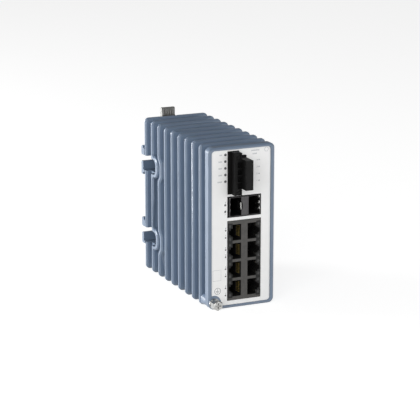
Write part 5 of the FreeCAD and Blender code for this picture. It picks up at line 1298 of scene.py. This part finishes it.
@dataclass
class JackBlock:
    """The shielded block of eight network jacks.

    The panels are given by their nearest and farthest place from the block's outer side and by
    their lower and upper side above the middle of a row. Each has a mirrored one below.
    """

    first_row: float = 14.285
    pitch: float = 13.97
    rows: int = 4
    film: float = 0.03
    band: float = 0.9
    panels: tuple[tuple[float, float, float, float], ...] = (
        (0.9, 2.3, 1.7, 3.8), (0.9, 2.4, 5.7, 6.985), (2.3, 2.4, 3.0, 3.8), (2.4, 3.7, 3.0, 6.985),
    )
    tab_inset: float = 3.7
    tab_heights: tuple[float, float] = (-4.4, 3.2)
    tab: Leaf = Leaf(
        ((0.1, 0.02, 0), (1.2, 0.3, 0), (2.6, 0.5, 0), (4.0, 0.2, 0)),
        width=1.3, sheet=0.12, rounding=0.02,
    )

    def build(self) -> None:
        """Dress the block and add its black front strips and spring tabs."""
        dress("jack_shield", JACK_SHEET)
        dress("jack_insulator", JACK_PLASTIC)
        dress("jack_contacts", GOLD)
        dress("jack_lights", DARK_LENS)
        self._strips()
        self._tabs()

    def _row_heights(self) -> list[float]:
        """Work out where the rows of jacks lie."""
        return [self.first_row + row * self.pitch for row in range(self.rows)]

    def _strips(self) -> None:
        """Lay the black front strips round the latch notches and the lights."""
        shape = Shape()
        half = self.pitch / 2
        mirrored = [(near, far, -top, -base) for near, far, base, top in self.panels]
        for height in self._row_heights():
            for near, far, base, top in [(0.0, self.band, -half, half), *self.panels, *mirrored]:
                for left, right in (
                    (PORTS_LEFT + near, PORTS_LEFT + far),
                    (PORTS_RIGHT - far, PORTS_RIGHT - near),
                ):
                    shape.box(
                        (left, PORT_FACE - self.film, height + base), (right, PORT_FACE, height + top)
                    )
        shape.finish("jack_front_strips", STRIP_PLASTIC, smooth=False)

    def _tabs(self) -> None:
        """Bend the small spring tabs at the outer side of each jack."""
        shape = Shape()
        walls = ((PORTS_LEFT + self.tab_inset, 1.0), (PORTS_RIGHT - self.tab_inset, -1.0))
        for height in self._row_heights():
            for wall, towards in walls:
                for step in self.tab_heights:
                    shape.strip(self.tab, wall, towards, height + step)
        shape.finish("jack_spring_tabs", TAB_SHEET, bevel=self.tab.rounding)


@dataclass
class GroundPoint:
    """The grounding screw with its washers."""

    rounding: float = 0.18
    edges: Test = LongEdges(1.6, -2.0)

    def build(self) -> None:
        """Round the screw's head and dress its washers."""
        soften("ground_screw", "rounded_ground_screw", PLATED_STEEL, self.rounding, self.edges)
        dress("ground_washers", PLATED_STEEL)


@dataclass
class RailClip:
    """The sprung slider with its spring and retainer."""

    rounding: float = 0.16
    edges: Test = LongEdges(1.0)
    spring_radius: float = 1.5
    spring_wire: float = 0.35
    spring_length: float = 16.0
    spring_turns: int = 6
    travel: float = 4.5
    screw_places: tuple[float, float] = (-12.8, 3.4)
    screw_turns: tuple[float, float] = (20.0, 65.0)
    screw_height: float = 105.1
    screw_seat: float = 122.6
    screw: Screw = Screw(1.9, 1.1, 0.3, 0.95)

    def build(self) -> None:
        """Round the slider, dress the retainer, wind the spring and turn the screws."""
        soften(
            "clip_slider", "rounded_slider", CLIP_STEEL, self.rounding, self.edges, body=CLIP_BODY
        )
        dress("clip_retainer", CLIP_STEEL)
        self._spring()
        self._screws()

    def _spring(self) -> None:
        """Wind the spring as it stands at rest; the real spring shortens towards its lower end when the
        slider goes down.
        """
        low, high = (Vector(corner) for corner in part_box("clip_spring"))
        foot = Vector(((low.x + high.x) / 2, (low.y + high.y) / 2, low.z))
        shape = Shape()
        shape.coil(
            from_frame(foot),
            self.spring_radius,
            self.spring_wire,
            self.spring_length,
            self.spring_turns,
        )
        piece = shape.finish("coil_spring", SPRING_WIRE)
        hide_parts("clip_spring")
        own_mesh(piece)

    def _screws(self) -> None:
        """Turn the two slotted screws of the retainer."""
        shape = Shape()
        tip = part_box("retainer_screws")[0][1] / MILLIMETRE + DEPTH
        length = self.screw_seat - tip
        for across, turn in zip(self.screw_places, self.screw_turns):
            seat = (across, self.screw_seat, self.screw_height)
            shape.slotted(seat, BACKWARDS, self.screw, turn)
            shape.disc((across, tip, self.screw_height), BACKWARDS, self.screw.shank, length, sides=20)
        piece = shape.finish("slotted_retainer_screws", PLATED_STEEL)
        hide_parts("retainer_screws")


@dataclass
class Electronics:
    """The boards and what they carry inside the housing."""

    def build(self) -> None:
        """Dress the hidden parts."""
        for node, finish in {
            "main_board": LAMINATE,
            "power_board": LAMINATE,
            "switch_chip": RESIN,
            "heat_pad": HEAT_PAD,
            "power_inductor": GREY_PLASTIC,
            "board_connector": GREY_PLASTIC,
            "line_transformers": GREY_PLASTIC,
            "power_capacitors": CAN,
            "board_screws": PLATED_STEEL,
        }.items():
            dress(node, finish)


@dataclass
class Studio:
    """A pale floor, soft lights and the camera at the photograph's angle.

    The lamps are given by name, place, width, height and power in watts.
    """

    camera_place: Point = (-521.65, -1104.79, 387.74)
    camera_target: Point = (1.85, 60.0, 58.06)
    sensor: float = 36.0
    focal: float = 1761.0
    image: float = 420.0
    nearest: float = 0.05
    farthest: float = 60.0
    lamps: tuple[tuple[str, Point, float, float, float], ...] = (
        ("key", (-1130.0, 900.0, 190.0), 600.0, 360.0, 29.4),
        ("fill", (900.0, -1100.0, 400.0), 1200.0, 1200.0, 12.1),
        ("front", (-900.0, -1100.0, 500.0), 1200.0, 1200.0, 14.8),
    )
    lamp_target: Point = (0.0, 60.0, 60.0)
    floor_size: float = 9000.0
    floor_colour: tuple[float, ...] = (0.45, 0.45, 0.45, 1.0)
    floor_glow: float = 0.76
    world_glow: float = 0.196

    def build(self) -> None:
        """Build the whole studio."""
        self._camera()
        self._floor()
        self._world()
        for name, place, width, height, power in self.lamps:
            data = bpy.data.lights.new(name, "AREA")
            data.shape = "RECTANGLE"
            data.size = width * MILLIMETRE
            data.size_y = height * MILLIMETRE
            data.energy = power
            self._hang(data, place, self.lamp_target)

    def _hang(self, data: bpy.types.ID, place: Point, target: Point) -> bpy.types.Object:
        """Hang up a lamp or the camera and aim it.

        Args:
            data: The lamp or camera.
            place: Its place in millimetres from the front datum.
            target: The place that it looks at.

        Returns:
            The object.
        """
        hung = bpy.data.objects.new(data.name, data)
        hung.location = spot(*place)
        gaze = spot(*target) - hung.location
        hung.rotation_euler = gaze.to_track_quat("-Z", "Y").to_euler()
        bpy.context.scene.collection.objects.link(hung)
        return hung

    def _camera(self) -> None:
        """Aim the camera."""
        data = bpy.data.cameras.new("camera")
        data.sensor_width = self.sensor
        data.lens = data.sensor_width * self.focal / self.image
        data.clip_start = self.nearest
        data.clip_end = self.farthest
        bpy.context.scene.camera = self._hang(data, self.camera_place, self.camera_target)

    def _floor(self) -> None:
        """Lay a pale floor that shows white to the camera and keeps the shadow."""
        data = bpy.data.meshes.new("floor")
        half = self.floor_size / 2
        around = ((-half, -half), (half, -half), (half, half), (-half, half))
        corners = [tuple(spot(across, depth, 0.0)) for across, depth in around]
        data.from_pydata(corners, [], [(0, 1, 2, 3)])
        floor = bpy.data.objects.new("floor", data)
        bpy.context.scene.collection.objects.link(floor)
        material = bpy.data.materials.new("pale_floor")
        material.use_nodes = True
        nodes = Nodes(material.node_tree)
        nodes.tree.nodes.remove(nodes.tree.nodes["Principled BSDF"])
        paint = nodes.add("ShaderNodeBsdfDiffuse", {"Color": self.floor_colour})
        glow = nodes.add("ShaderNodeEmission", {"Color": WHITE})
        seen = nodes.add("ShaderNodeLightPath")
        shown = nodes.add("ShaderNodeMath")
        shown.operation = "MAXIMUM"
        level = nodes.add("ShaderNodeMath")
        level.operation = "MULTIPLY"
        level.inputs[1].default_value = self.floor_glow
        both = nodes.add("ShaderNodeAddShader")
        nodes.join(seen.outputs["Is Camera Ray"], shown.inputs[0])
        nodes.join(seen.outputs["Is Glossy Ray"], shown.inputs[1])
        nodes.join(shown.outputs[0], level.inputs[0])
        nodes.join(level.outputs[0], glow.inputs["Strength"])
        nodes.join(paint.outputs[0], both.inputs[0])
        nodes.join(glow.outputs[0], both.inputs[1])
        nodes.join(both.outputs[0], nodes.tree.nodes["Material Output"].inputs["Surface"])
        data.materials.append(material)

    def _world(self) -> None:
        """Surround the scene with a soft light that the camera sees as white."""
        world = bpy.data.worlds.new("studio")
        bpy.context.scene.world = world
        world.use_nodes = True
        nodes = Nodes(world.node_tree)
        light = nodes.tree.nodes["Background"]
        nodes.adjust(light, {"Color": WHITE, "Strength": self.world_glow})
        white = nodes.add("ShaderNodeBackground", {"Color": WHITE, "Strength": 1.0})
        seen = nodes.add("ShaderNodeLightPath")
        blend = nodes.add("ShaderNodeMixShader")
        nodes.join(seen.outputs["Is Camera Ray"], blend.inputs["Fac"])
        nodes.join(light.outputs[0], blend.inputs[1])
        nodes.join(white.outputs[0], blend.inputs[2])
        nodes.join(blend.outputs[0], nodes.tree.nodes["World Output"].inputs["Surface"])


def main() -> None:
    """Build every part of the scene in order."""
    logging.basicConfig(level=logging.INFO, format="%(message)s")
    bpy.context.scene.view_settings.view_transform = "Standard"
    for part in (
        Studio(),
        Casing(),
        Legend(),
        Lights(),
        PowerTerminal(),
        FibreCage(),
        JackBlock(),
        GroundPoint(),
        RailClip(),
        Electronics(),
    ):
        log.info("%s", type(part).__name__)
        part.build()


if __name__ == "__main__":
    main()
